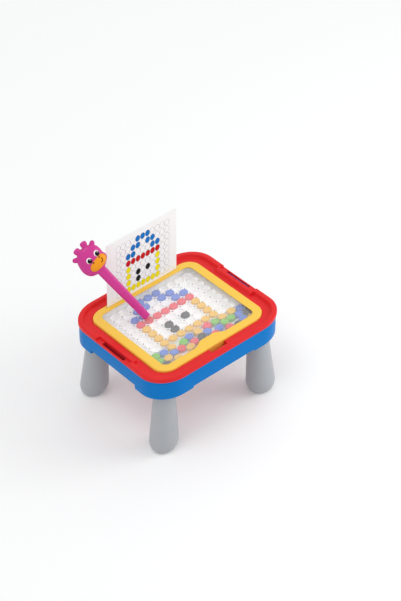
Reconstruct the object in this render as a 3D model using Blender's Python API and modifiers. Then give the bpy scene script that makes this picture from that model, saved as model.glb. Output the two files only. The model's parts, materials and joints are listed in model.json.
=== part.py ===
"""Magnetic drawing board on a small four-legged play table.

Frame: origin on the floor under the table's centre, +Z up, +Y towards the picture
card at the back, +X to the right. All lengths are in metres.
"""
import math

import bmesh
import bpy
import numpy as np
from mathutils import Euler, Matrix, Vector

mm = 0.001
deg = math.pi / 180

# General fits
SEAT_GAP = 0.3 * mm          # between pieces that touch
OVERRUN = 3 * mm             # how far a cutter runs past what it cuts
LAP = 1 * mm                 # how far joined shapes run into each other

# Table top, the red tray
TABLE_WIDTH = 254 * mm
TABLE_CORNER = 49 * mm       # corner radius of the outer edge
TABLE_HEIGHT = 160.5 * mm    # floor to the top of the rim
RIM_WIDTH = 8.6 * mm         # flat top of the rim, from the outer edge
RIM_ROUND = 3 * mm           # rounding of the outer edge
RIM_RISE = 5.5 * mm          # rim above the ledge
RIM_SLOPE = 1.9 * mm         # run of the rim's inner face
BAND_DEPTH = 7 * mm          # red band seen from the side
TRAY_WALL = 2.4 * mm
WELL_GAP = 0.6 * mm          # round the board, so that it lifts out
TONGUE_INSET = 5 * mm        # rib that centres the tray in the skirt
TONGUE_WALL = 2 * mm
TONGUE_DEPTH = 4.5 * mm

# Hand slots in the tray's left and right edges
HANDLE_LENGTH = 88 * mm      # lowered stretch of the rim
HANDLE_LIP = 2.3 * mm        # thin outer lip
HANDLE_DROP = 3.5 * mm       # lip below the rim
SLOT_LENGTH = 58 * mm
SLOT_WIDTH = 6.3 * mm
SLOT_DEPTH = 15 * mm         # of the slot's own walls, below the ledge
BAR_LENGTH = 93 * mm         # wide stretch of rim inside the slot
BAR_WIDTH = 6 * mm
BAR_SLOPE = 3.2 * mm

# Finger pocket in the front ledge, for lifting the board
POCKET_LENGTH = 30 * mm
POCKET_WIDTH = 8.5 * mm
POCKET_DEPTH = 12 * mm

# Blue skirt with corner pods
SKIRT_STEP = 1.5 * mm        # skirt inside the red band
SKIRT_WALL = 2.2 * mm
SKIRT_SIDE_DEPTH = 27.8 * mm # below the seam, along the left and right sides
SKIRT_FRONT_DEPTH = 31.9 * mm  # below the seam, along the front and back
POD_DEPTH = 35.2 * mm        # below the seam, at the corners
POD_ROUND = 2 * mm
POD_LENGTH = 67 * mm         # of a pod, from the table's outer edge
RIB_WALL = 2.2 * mm

# Screws, one in each pod
SCREW_PLACE = 12 * mm        # along the side, from the pod's inner edge
SCREW_INSET = 16 * mm        # place in from the tray's outer edge
SCREW_RADIUS = 1.1 * mm
SCREW_LENGTH = 14 * mm
SCREW_HEAD_RADIUS = 3.2 * mm
SCREW_HEAD_HEIGHT = 2 * mm
SCREW_CROWN_SHARE = 0.8      # of the head's radius, where its crown begins
SCREW_RECESS = 0.8 * mm      # depth of the drive recess
SCREW_DRIVE_RADIUS = 1.3 * mm
SCREW_GAP = 0.35 * mm
BOSS_RADIUS = 3.6 * mm

# Legs
LEG_INSET = 35.5 * mm        # leg axis at the pod's underside, in from both outer edges
LEG_SPLAY = 4.1 * deg        # outwards along the diagonal
LEG_TOP_RADIUS = 16.8 * mm
LEG_WIDE_RADIUS = 23.8 * mm
LEG_FOOT_RADIUS = 13 * mm    # flat of the foot
LEG_WIDE_HEIGHT = 20 * mm    # widest place above the floor
LEG_WALL = 2.4 * mm
PLUG_RADIUS = 14.4 * mm
PLUG_LENGTH = 11.5 * mm
PLUG_GAP = 0.3 * mm
SOCKET_WALL = 2.4 * mm

# Board
BOARD_INSET = 24 * mm        # from the table's outer edge
BOARD_THICKNESS = 21 * mm
BOARD_PROUD = 3 * mm         # above the tray's ledge
BEZEL = 15 * mm
BEZEL_ROUND = 2.4 * mm
BEZEL_INNER_ROUND = 1 * mm
LIP_THICKNESS = 2.7 * mm
FRAME_WALL = 2.2 * mm
FRAME_SPLIT = 10.5 * mm      # front frame's height
FIT_GAP = 0.4 * mm           # sideways, between the board's inner pieces
TAB_BASE = 56 * mm           # tab of the bezel over the loose tablets
TAB_TIP = 26 * mm
TAB_REACH = 9.5 * mm
WINDOW_THICKNESS = 2 * mm
BACK_BEZEL = 15 * mm
BACK_LIP = 1.3 * mm
PANEL_THICKNESS = 1.5 * mm

# Card and its slot
CARD_MARGIN = 34.7 * mm      # at each end of the card, to the board's side
CARD_ASIDE = 1.6 * mm        # as it stands in its slot, to the right of the middle
CARD_HEIGHT = 131.5 * mm
CARD_THICKNESS = 1 * mm
CARD_CORNER = 3 * mm
CARD_INSET = 5.5 * mm        # slot's middle, in from the board's back
CARD_END_GAP = 2 * mm
CARD_SLOT_DEPTH = 7.7 * mm
CARD_BAR_WIDTH = 5.4 * mm    # rib under the bezel that holds the slot

# Bead tray
COLUMNS = 11
ROWS = 8
PLATFORM_SIDE = 15 * mm      # beside the outer sockets' cells, to the board's side
SOCKET_WEB = 1 * mm          # between neighbouring sockets
SOCKET_DEPTH = 3 * mm
SCALLOP_RIM = 1.1 * mm       # round the outer sockets
SCALLOP_BOW_SHARE = 0.0006
PLATFORM_MARGIN = 12.6 * mm  # last row's centres from the tray's back wall
PLATFORM_HEIGHT = 3.8 * mm
BEAD_TRAY_WALL = 2.2 * mm
BEAD_TRAY_FLOOR = 1.6 * mm

# Tablets
BEAD_GAP = 0.5 * mm          # round a tablet in its socket
BEAD_THICKNESS = 6 * mm
BEAD_ROUND = 1.5 * mm
BEAD_SINK = 0.25 * mm        # loose ones, into the floor that carries them
BEAD_STEPS = 10
LOOSE_STEPS = 8
LOOSE_GAP = 0.5 * mm         # least gap between loose ones, and to the walls
LOOSE_STEP_SHARE = 0.0625    # of the pitch, one step of the loose ones' places
SETTLE_STEPS = 3000
SETTLE_SHARE = 0.4           # of an overlap taken up in one step

# Pen
PEN_TIP_X = -37.4 * mm
PEN_TIP_Y = 30 * mm
PEN_LEAN = 36.5 * deg        # from upright
PEN_HEADING = 134 * deg      # direction of the lean, from +X
PEN_TURN = 212.4 * deg       # of the face about the pen's own axis
NECK_LENGTH = 145.5 * mm     # tip to the head's centre
NECK_TIP_RADIUS = 6.2 * mm
NECK_TOP_RADIUS = 8.2 * mm
NECK_FLATNESS_SHARE = 0.86
HEAD_HALF_WIDTH = 23.8 * mm
HEAD_HALF_HEIGHT = 24.6 * mm
HEAD_HALF_DEPTH = 12 * mm
HORN_OUT = 6.9 * mm
HORN_UP = 28 * mm
HORN_HALF_WIDTH = 5.6 * mm
HORN_HALF_LENGTH = 9.5 * mm
HORN_HALF_DEPTH = 4.6 * mm
HORN_TILT = 20 * deg
EAR_OUT = 15.6 * mm
EAR_UP = 19.4 * mm
EAR_HALF_WIDTH = 4.6 * mm
EAR_HALF_LENGTH = 7.6 * mm
EAR_HALF_DEPTH = 4 * mm
EAR_TILT = 45 * deg
MUZZLE_ASIDE = 2.4 * mm
MUZZLE_DOWN = 8.6 * mm
MUZZLE_FORWARD = 8.4 * mm
MUZZLE_HALF_WIDTH = 16.5 * mm
MUZZLE_HALF_HEIGHT = 11 * mm
MUZZLE_HALF_DEPTH = 6.5 * mm
MUZZLE_SEAT = 7 * mm         # flat back of the muzzle from the middle plane
MAGNET_RADIUS = 4 * mm
MAGNET_LENGTH = 9 * mm
MAGNET_PROUD = 0.6 * mm
JOIN_GAP = 0.3 * mm          # between the pen's halves

# Heights and widths that follow
TABLE_HALF = TABLE_WIDTH / 2
BOARD_HALF = TABLE_HALF - BOARD_INSET
LEDGE_Z = TABLE_HEIGHT - RIM_RISE
SEAM_Z = TABLE_HEIGHT - BAND_DEPTH
BOARD_TOP_Z = LEDGE_Z + BOARD_PROUD
BOARD_BOTTOM_Z = BOARD_TOP_Z - BOARD_THICKNESS
WELL_FLOOR_Z = BOARD_BOTTOM_Z - SEAT_GAP
WELL_UNDER_Z = WELL_FLOOR_Z - TRAY_WALL
WELL_INSET = TABLE_HALF - BOARD_HALF - WELL_GAP
SKIRT_TOP_Z = SEAM_Z - SEAT_GAP
SIDE_BOTTOM_Z = SEAM_Z - SKIRT_SIDE_DEPTH
FRONT_BOTTOM_Z = SEAM_Z - SKIRT_FRONT_DEPTH
POD_BOTTOM_Z = SEAM_Z - POD_DEPTH
POD_EDGE = TABLE_HALF - POD_LENGTH
SCREW_SIDE = POD_EDGE + SCREW_PLACE
LEG_PLACE = TABLE_HALF - LEG_INSET
SKIRT_HALF = TABLE_HALF - SKIRT_STEP
SLOT_OUTER = TABLE_HALF - HANDLE_LIP
SLOT_INNER = SLOT_OUTER - SLOT_WIDTH
OPENING_HALF = BOARD_HALF - BEZEL
WINDOW_TOP_Z = BOARD_TOP_Z - LIP_THICKNESS - SEAT_GAP
WINDOW_BOTTOM_Z = WINDOW_TOP_Z - WINDOW_THICKNESS
SPLIT_Z = BOARD_TOP_Z - FRAME_SPLIT
PANEL_BOTTOM_Z = BOARD_BOTTOM_Z + BACK_LIP + SEAT_GAP
BEAD_TRAY_BOTTOM_Z = PANEL_BOTTOM_Z + PANEL_THICKNESS + SEAT_GAP
BEAD_TRAY_TOP_Z = WINDOW_BOTTOM_Z - SEAT_GAP
CHANNEL_Z = BEAD_TRAY_BOTTOM_Z + BEAD_TRAY_FLOOR
PLATFORM_Z = CHANNEL_Z + PLATFORM_HEIGHT
INNER_HALF = BOARD_HALF - FRAME_WALL - FIT_GAP
CARD_HALF = BOARD_HALF - CARD_MARGIN
CARD_PLACE = BOARD_HALF - CARD_INSET
INNER_BACK = CARD_PLACE - CARD_BAR_WIDTH / 2 - FIT_GAP
PITCH = 2 * (BOARD_HALF - PLATFORM_SIDE) / COLUMNS
SOCKET_RADIUS = (PITCH - SOCKET_WEB) / 2
SCALLOP_RADIUS = SOCKET_RADIUS + SCALLOP_RIM
BEAD_RADIUS = SOCKET_RADIUS - BEAD_GAP
LAST_ROW_Y = INNER_BACK - BEAD_TRAY_WALL - PLATFORM_MARGIN
FIRST_ROW_Y = LAST_ROW_Y - (ROWS - 1) * PITCH
PEN_TIP_Z = WINDOW_TOP_Z + SEAT_GAP + NECK_TIP_RADIUS * math.sin(PEN_LEAN)

CORNER_STEPS = 6
ROUND_STEPS = 20

# Picture shown by the tablets in the sockets: column, row, counted from the front left
PICTURE = {
    "yellow": [(c, 0) for c in range(2, 9)] + [(c, r) for c in (2, 8) for r in (1, 2, 3)],
    "red": [(c, 4) for c in range(2, 9)],
    "blue": [(2, 5), (3, 5), (7, 5), (8, 5), (3, 6), (4, 6), (6, 6), (7, 6), (4, 7), (5, 7), (6, 7)],
    "black": [(4, 1), (4, 2), (6, 2)],
}

# Loose tablets as they lie in the channel, before they are pushed apart: steps in X and in Y
LOOSE_SHARES = [
    (-78, -45), (-77, -60), (-28, -54), (42, -48), (61, -52), (51, -59), (-63, -51), (-47, -61),
    (-12, -49), (17, -55), (36, -64), (69, -60), (84, -52), (75, -72), (-47, -48), (-63, -64),
    (-25, -68), (3, -46), (51, -49), (75, -45), (79, -73), (-53, -75), (-39, -61), (-8, -62),
    (28, -47), (25, -67), (54, -68), (5, -67), (6, -61), (64, -73), (83, -65), (-75, -73),
]

COLOURS = {
    "red_plastic": ((0.80, 0.032, 0.042), 0.32),
    "blue_plastic": ((0.012, 0.19, 0.56), 0.35),
    "yellow_plastic": ((0.97, 0.62, 0.09), 0.32),
    "grey_plastic": ((0.28, 0.30, 0.32), 0.45),
    "white_plastic": ((0.80, 0.80, 0.80), 0.40),
    "clear_plastic": ((0.90, 0.93, 0.95), 0.08),
    "card": ((0.88, 0.88, 0.88), 0.55),
    "magenta_plastic": ((0.65, 0.035, 0.32), 0.32),
    "orange_plastic": ((0.92, 0.36, 0.04), 0.35),
    "bead_blue": ((0.10, 0.22, 0.75), 0.35),
    "bead_red": ((0.80, 0.06, 0.08), 0.35),
    "bead_yellow": ((0.95, 0.62, 0.10), 0.35),
    "bead_black": ((0.03, 0.03, 0.03), 0.35),
    "steel": ((0.55, 0.55, 0.56), 0.30),
    "magnet": ((0.20, 0.03, 0.04), 0.40),
}
METALS = ("steel",)


def clear_scene():
    for item in list(bpy.data.objects):
        bpy.data.objects.remove(item, do_unlink=True)


def new_collection(name):
    group = bpy.data.collections.new(name)
    bpy.context.scene.collection.children.link(group)
    return group


def material(name):
    found = bpy.data.materials.get(name)
    if found:
        return found
    colour, roughness = COLOURS[name]
    made = bpy.data.materials.new(name)
    made.use_nodes = True
    shader = made.node_tree.nodes["Principled BSDF"]
    shader.inputs["Base Color"].default_value = (*colour, 1)
    shader.inputs["Roughness"].default_value = roughness
    shader.inputs["Metallic"].default_value = 1 if name in METALS else 0
    return made


def add_part(name, mesh, material_name, place=None):
    """An object of the assembly, at the origin unless a place is given."""
    mesh.materials.clear()
    mesh.materials.append(material(material_name))
    mesh.shade_smooth()
    mesh.set_sharp_from_angle(angle=35 * deg)
    part = bpy.data.objects.new(name, mesh)
    part.matrix_world = place or Matrix()
    PARTS.objects.link(part)
    return part


def add_tool(name, mesh):
    """A cutter or a shape to be joined: never part of the assembly."""
    tool = bpy.data.objects.new(name, mesh)
    tool.display_type = "WIRE"
    tool.hide_render = True
    TOOLS.objects.link(tool)
    return tool


def combine(base, steps):
    """Run a list of (operation, tool mesh) on a mesh and give the resulting mesh."""
    body = add_tool("body", base)
    for number, (operation, mesh) in enumerate(steps):
        change = body.modifiers.new(f"step_{number}", "BOOLEAN")
        change.operation = operation
        change.solver = "EXACT"
        change.object = add_tool(f"tool_{number}", mesh)
    view = bpy.context.evaluated_depsgraph_get()
    result = bpy.data.meshes.new_from_object(body.evaluated_get(view))
    for change in body.modifiers:
        bpy.data.objects.remove(change.object, do_unlink=True)
    bpy.data.objects.remove(body, do_unlink=True)
    return result


def to_mesh(name, shape):
    bmesh.ops.recalc_face_normals(shape, faces=shape.faces)
    mesh = bpy.data.meshes.new(name)
    shape.to_mesh(mesh)
    shape.free()
    return mesh


def join_loose(meshes):
    """Several separate bodies in one mesh, for use as one tool."""
    shape = bmesh.new()
    for mesh in meshes:
        shape.from_mesh(mesh)
    return to_mesh("tools", shape)


def moved(mesh, matrix):
    mesh.transform(matrix)
    return mesh


def box(low, high):
    shape = bmesh.new()
    bmesh.ops.create_cube(shape, size=1)
    size = Vector(high) - Vector(low)
    centre = (Vector(high) + Vector(low)) / 2
    bmesh.ops.scale(shape, vec=size, verts=shape.verts)
    bmesh.ops.translate(shape, vec=centre, verts=shape.verts)
    return to_mesh("box", shape)


def cone(radius_low, radius_high, low_z, high_z, segments=ROUND_STEPS):
    """A turned frustum about Z, or a cylinder where both radii are equal. Its first corner is on +X."""
    shape = bmesh.new()
    bmesh.ops.create_cone(shape, cap_ends=True, segments=segments, radius1=radius_low, radius2=radius_high,
                          depth=high_z - low_z, matrix=Matrix.Rotation(-math.pi / 2, 4, "Z"))
    bmesh.ops.translate(shape, vec=(0, 0, (low_z + high_z) / 2), verts=shape.verts)
    return to_mesh("cone", shape)


def ellipsoid(half_sizes, matrix, segments=16, rings=10):
    shape = bmesh.new()
    bmesh.ops.create_uvsphere(shape, u_segments=segments, v_segments=rings, radius=1)
    bmesh.ops.scale(shape, vec=half_sizes, verts=shape.verts)
    bmesh.ops.transform(shape, matrix=matrix, verts=shape.verts)
    return to_mesh("ellipsoid", shape)


def rounded_outline(low, high, corner, steps=CORNER_STEPS):
    """Corners of a rectangle in the XY plane, rounded by equal arcs."""
    points = []
    centres = [(high[0] - corner, high[1] - corner), (low[0] + corner, high[1] - corner),
               (low[0] + corner, low[1] + corner), (high[0] - corner, low[1] + corner)]
    for quarter, (x, y) in enumerate(centres):
        for step in range(steps + 1):
            angle = (quarter + step / steps) * math.pi / 2
            points.append((x + corner * math.cos(angle), y + corner * math.sin(angle)))
    return points


def square(half):
    """Low and high corner of a centred square, and the radius that keeps it parallel to the table's edge."""
    return (-half, -half), (half, half), TABLE_CORNER - (TABLE_HALF - half)


def add_curve(name, points, closed):
    curve = bpy.data.curves.new(name, "CURVE")
    curve.dimensions = "2D"
    curve.fill_mode = "NONE"
    spline = curve.splines.new("POLY")
    spline.points.add(len(points) - 1)
    for point, (x, y) in zip(spline.points, points):
        point.co = (x, y, 0, 1)
    spline.use_cyclic_u = closed
    holder = bpy.data.objects.new(name, curve)
    TOOLS.objects.link(holder)
    return holder


def sweep(outline, section, closed):
    """Carry a section of (inset, height) points round an outline.

    A closed section gives a ring. An open one has its two edge loops filled, so that
    it gives a plate, a dish or a lid.
    """
    profile = add_curve("section", section, closed)
    path = add_curve("path", outline, True)
    path.data.bevel_mode = "OBJECT"
    path.data.bevel_object = profile
    view = bpy.context.evaluated_depsgraph_get()
    mesh = bpy.data.meshes.new_from_object(path.evaluated_get(view))
    for holder in (path, profile):
        bpy.data.objects.remove(holder, do_unlink=True)
    shape = bmesh.new()
    shape.from_mesh(mesh)
    bmesh.ops.remove_doubles(shape, verts=shape.verts, dist=mm / 1000)
    rims = [edge for edge in shape.edges if edge.is_boundary]
    bmesh.ops.holes_fill(shape, edges=rims, sides=0)
    return to_mesh("swept", shape)


def plate(outline, low_z, high_z):
    """A flat outline given thickness."""
    curve = bpy.data.curves.new("plate", "CURVE")
    curve.dimensions = "2D"
    curve.fill_mode = "BOTH"
    curve.extrude = (high_z - low_z) / 2
    spline = curve.splines.new("POLY")
    spline.points.add(len(outline) - 1)
    for point, (x, y) in zip(spline.points, outline):
        point.co = (x, y, 0, 1)
    spline.use_cyclic_u = True
    holder = bpy.data.objects.new("plate", curve)
    TOOLS.objects.link(holder)
    view = bpy.context.evaluated_depsgraph_get()
    mesh = bpy.data.meshes.new_from_object(holder.evaluated_get(view))
    bpy.data.objects.remove(holder, do_unlink=True)
    shape = bmesh.new()
    shape.from_mesh(mesh)
    bmesh.ops.remove_doubles(shape, verts=shape.verts, dist=mm / 1000)
    bmesh.ops.dissolve_limit(shape, angle_limit=deg / 10, verts=shape.verts, edges=shape.edges)
    bmesh.ops.translate(shape, vec=(0, 0, (low_z + high_z) / 2), verts=shape.verts)
    return to_mesh("plate", shape)


def turned(profile, steps=ROUND_STEPS):
    """Turn a profile of (radius, height) points about Z. It runs down its outer side."""
    mesh = bpy.data.meshes.new("profile")
    mesh.from_pydata([(r, 0, z) for r, z in profile], [(i, i + 1) for i in range(len(profile) - 1)], [])
    body = add_tool("turned", mesh)
    screw = body.modifiers.new("turn", "SCREW")
    screw.axis = "Z"
    screw.angle = 2 * math.pi
    screw.steps = steps
    screw.render_steps = steps
    screw.use_merge_vertices = True
    screw.merge_threshold = mm / 100
    view = bpy.context.evaluated_depsgraph_get()
    result = bpy.data.meshes.new_from_object(body.evaluated_get(view))
    bpy.data.objects.remove(body, do_unlink=True)
    shape = bmesh.new()
    shape.from_mesh(result)
    bmesh.ops.remove_doubles(shape, verts=shape.verts, dist=mm / 100)
    return to_mesh("turned", shape)


def quarter_arc(start, centre, end, steps):
    """Points of an elliptical quarter from start to end, both on the axes through the centre."""
    points = []
    for step in range(steps + 1):
        angle = step / steps * math.pi / 2
        near, far = math.cos(angle), math.sin(angle)
        points.append(tuple(c + (s - c) * near + (e - c) * far for s, c, e in zip(start, centre, end)))
    return points


def four_ways(x, y):
    return [(x, y), (-x, y), (-x, -y), (x, -y)]


def screw_places():
    along = SCREW_SIDE
    across = TABLE_HALF - SCREW_INSET
    return four_ways(across, along)


def handle_bar(side):
    """Wide stretch of the rim inside a hand slot, its inner face sloped like the rim's."""
    outer = SLOT_INNER + LAP
    top_in = SLOT_INNER - BAR_WIDTH
    foot_in = top_in - BAR_SLOPE
    half = BAR_LENGTH / 2
    outline = [(outer, LEDGE_Z - LAP), (outer, TABLE_HEIGHT), (top_in, TABLE_HEIGHT), (foot_in, LEDGE_Z),
               (foot_in, LEDGE_Z - LAP)]
    bar = plate(outline, -half, half)
    upright = Matrix(((1, 0, 0, 0), (0, 0, 1, 0), (0, 1, 0, 0), (0, 0, 0, 1)))
    bar.transform(Matrix.Scale(side, 4, (1, 0, 0)) @ upright)
    shape = bmesh.new()
    shape.from_mesh(bar)
    return to_mesh("bar", shape)


def make_tray_top():
    low, high, corner = square(TABLE_HALF)
    rim = quarter_arc((RIM_ROUND, TABLE_HEIGHT), (RIM_ROUND, TABLE_HEIGHT - RIM_ROUND),
                      (0, TABLE_HEIGHT - RIM_ROUND), 3)
    tongue_inner = TONGUE_INSET + TONGUE_WALL
    section = [(WELL_INSET, WELL_FLOOR_Z), (WELL_INSET, LEDGE_Z), (RIM_WIDTH + RIM_SLOPE, LEDGE_Z),
               (RIM_WIDTH, TABLE_HEIGHT)] + rim + [
        (0, SEAM_Z), (TONGUE_INSET, SEAM_Z), (TONGUE_INSET, SEAM_Z - TONGUE_DEPTH),
        (tongue_inner, SEAM_Z - TONGUE_DEPTH), (tongue_inner, LEDGE_Z - TRAY_WALL),
        (WELL_INSET - TRAY_WALL, LEDGE_Z - TRAY_WALL), (WELL_INSET - TRAY_WALL, WELL_UNDER_Z)]
    tray = sweep(rounded_outline(low, high, corner), section, False)
    steps = [("UNION", handle_bar(side)) for side in (1, -1)]
    handle_half = HANDLE_LENGTH / 2
    slot_half = SLOT_LENGTH / 2
    slot_end = slot_half + TRAY_WALL
    slot_low = LEDGE_Z - SLOT_DEPTH
    for side in (1, -1):
        near, far = sorted((side * (SLOT_INNER - TRAY_WALL), side * (SKIRT_HALF - SKIRT_WALL - SEAT_GAP)))
        steps.append(("UNION", box((near, -slot_end, slot_low), (far, slot_end, LEDGE_Z - TRAY_WALL / 2))))
        near, far = sorted((side * SLOT_INNER, side * (TABLE_HALF + OVERRUN)))
        steps.append(("DIFFERENCE", box((near, -handle_half, TABLE_HEIGHT - HANDLE_DROP),
                                        (far, handle_half, TABLE_HEIGHT + OVERRUN))))
        near, far = sorted((side * SLOT_INNER, side * SLOT_OUTER))
        steps.append(("DIFFERENCE", box((near, -slot_half, slot_low - OVERRUN),
                                        (far, slot_half, TABLE_HEIGHT + OVERRUN))))
    pocket_half = POCKET_LENGTH / 2
    pocket_back = BOARD_HALF + WELL_GAP
    pocket_front = pocket_back + POCKET_WIDTH
    pocket_floor = LEDGE_Z - POCKET_DEPTH
    pocket_low = (-pocket_half - TRAY_WALL, -pocket_front - TRAY_WALL, pocket_floor - TRAY_WALL)
    pocket_high = (pocket_half + TRAY_WALL, -pocket_back - TRAY_WALL / 2, LEDGE_Z - TRAY_WALL / 2)
    steps.append(("UNION", box(pocket_low, pocket_high)))
    steps.append(("DIFFERENCE", box((-pocket_half, -pocket_front, pocket_floor),
                                    (pocket_half, -pocket_back + OVERRUN, LEDGE_Z + OVERRUN))))
    boss_low = POD_BOTTOM_Z + SKIRT_WALL + SEAT_GAP
    bosses = [moved(cone(BOSS_RADIUS, BOSS_RADIUS, boss_low, LEDGE_Z - TRAY_WALL / 2, 12),
                    Matrix.Translation((x, y, 0))) for x, y in screw_places()]
    clear = SCREW_RADIUS + SCREW_GAP
    pilots = [moved(cone(clear, clear, boss_low - OVERRUN, boss_low + SCREW_LENGTH, 8),
                    Matrix.Translation((x, y, 0))) for x, y in screw_places()]
    steps += [("UNION", join_loose(bosses)), ("DIFFERENCE", join_loose(pilots))]
    return add_part("tray_top", combine(tray, steps), "red_plastic")


def leg_axis(corner_x, corner_y):
    """Place of a leg: its joint's point at the pod's underside, and its tilt outwards."""
    heading = math.atan2(corner_y, corner_x)
    tilt = Euler((0, -LEG_SPLAY, 0)).to_matrix().to_4x4()
    turn = Matrix.Rotation(heading, 4, "Z")
    return Matrix.Translation((corner_x, corner_y, POD_BOTTOM_Z)) @ turn @ tilt


def make_tray_base():
    low, high, corner = square(SKIRT_HALF)
    foot = quarter_arc((0, POD_BOTTOM_Z + POD_ROUND), (POD_ROUND, POD_BOTTOM_Z + POD_ROUND),
                       (POD_ROUND, POD_BOTTOM_Z), 2)
    section = [(SKIRT_WALL, POD_BOTTOM_Z + SKIRT_WALL), (SKIRT_WALL, SKIRT_TOP_Z), (0, SKIRT_TOP_Z)] + foot
    pan = sweep(rounded_outline(low, high, corner), section, False)
    rib_low = POD_BOTTOM_Z + SKIRT_WALL / 2
    rib_high = WELL_UNDER_Z - SEAT_GAP
    reach = SKIRT_HALF - SKIRT_WALL / 2
    ribs = []
    for side in (1, -1):
        near, far = sorted((side * POD_EDGE, side * (POD_EDGE + RIB_WALL)))
        ribs.append(("UNION", box((near, -reach, rib_low), (far, reach, rib_high))))
        ribs.append(("UNION", box((-reach, near, rib_low), (reach, far, rib_high))))
    past = TABLE_HALF + OVERRUN
    under = POD_BOTTOM_Z - OVERRUN
    cuts = [("DIFFERENCE", box((-POD_EDGE, -past, under), (POD_EDGE, past, FRONT_BOTTOM_Z))),
            ("DIFFERENCE", box((-past, -POD_EDGE, under), (past, POD_EDGE, SIDE_BOTTOM_Z)))]
    bore = PLUG_RADIUS + PLUG_GAP
    depth = PLUG_LENGTH + SEAT_GAP
    places = four_ways(LEG_PLACE, LEG_PLACE)
    tubes = [moved(cone(bore + SOCKET_WALL, bore + SOCKET_WALL, 0, depth + SOCKET_WALL), leg_axis(x, y))
             for x, y in places]
    level = box((-past, -past, under), (past, past, POD_BOTTOM_Z + SKIRT_WALL / 2))
    sockets = combine(join_loose(tubes), [("DIFFERENCE", level)])
    bores = [moved(cone(bore, bore, -OVERRUN, depth), leg_axis(x, y)) for x, y in places]
    clear = SCREW_RADIUS + SCREW_GAP
    holes = [moved(cone(clear, clear, POD_BOTTOM_Z - OVERRUN, POD_BOTTOM_Z + SKIRT_WALL + OVERRUN, 8),
                   Matrix.Translation((x, y, 0))) for x, y in screw_places()]
    steps = ribs + cuts + [("UNION", sockets), ("DIFFERENCE", join_loose(bores + holes))]
    return add_part("tray_base", combine(pan, steps), "blue_plastic")


def make_screws():
    head_top = -SEAT_GAP
    head_low = head_top - SCREW_HEAD_HEIGHT
    profile = [(0, SCREW_LENGTH), (SCREW_RADIUS, SCREW_LENGTH - SCREW_RADIUS), (SCREW_RADIUS, head_top),
               (SCREW_HEAD_RADIUS, head_top), (SCREW_HEAD_RADIUS, head_low + SCREW_HEAD_HEIGHT / 2),
               (SCREW_HEAD_RADIUS * SCREW_CROWN_SHARE, head_low), (SCREW_DRIVE_RADIUS, head_low),
               (SCREW_DRIVE_RADIUS, head_low + SCREW_RECESS), (0, head_low + SCREW_RECESS)]
    mesh = turned(profile, 8)
    for number, (x, y) in enumerate(screw_places(), 1):
        add_part(f"tray_screw_{number}", mesh, "steel", Matrix.Translation((x, y, POD_BOTTOM_Z)))


def make_legs():
    """One leg is turned, cut level at the pod and at the floor, and hollowed. The others share its mesh."""
    frame = leg_axis(LEG_PLACE, LEG_PLACE)
    length = POD_BOTTOM_Z / math.cos(LEG_SPLAY)
    wide = LEG_WIDE_HEIGHT - length
    foot = quarter_arc((LEG_WIDE_RADIUS, wide), (LEG_FOOT_RADIUS, wide), (LEG_FOOT_RADIUS, -length), 5)
    outside = turned([(0, OVERRUN), (LEG_TOP_RADIUS, OVERRUN)] + foot + [(0, -length)])
    hollow = turned([(0, PLUG_LENGTH + OVERRUN), (PLUG_RADIUS - LEG_WALL, PLUG_LENGTH + OVERRUN),
                     (PLUG_RADIUS - LEG_WALL, 0), (LEG_WIDE_RADIUS - LEG_WALL, wide),
                     (LEG_FOOT_RADIUS, LEG_WALL - length), (0, LEG_WALL - length)])
    plug = cone(PLUG_RADIUS, PLUG_RADIUS, -LEG_WALL - OVERRUN, PLUG_LENGTH)
    for mesh in (outside, hollow, plug):
        mesh.transform(frame)
    reach = LEG_PLACE + 3 * LEG_WIDE_RADIUS
    level_top = box((0, 0, POD_BOTTOM_Z - SEAT_GAP), (reach, reach, POD_BOTTOM_Z + PLUG_LENGTH))
    level_floor = box((0, 0, -LEG_WIDE_RADIUS), (reach, reach, 0))
    leg = combine(outside, [("DIFFERENCE", level_top), ("DIFFERENCE", level_floor), ("UNION", plug),
                            ("DIFFERENCE", hollow)])
    origin = Vector((LEG_PLACE, LEG_PLACE, POD_BOTTOM_Z))
    leg.transform(Matrix.Translation(-origin))
    names = ["leg_back_right", "leg_back_left", "leg_front_left", "leg_front_right"]
    for quarter, (name, (x, y)) in enumerate(zip(names, four_ways(LEG_PLACE, LEG_PLACE))):
        turn = Matrix.Rotation(quarter * math.pi / 2, 4, "Z")
        add_part(name, leg, "grey_plastic", Matrix.Translation((x, y, POD_BOTTOM_Z)) @ turn)


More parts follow.
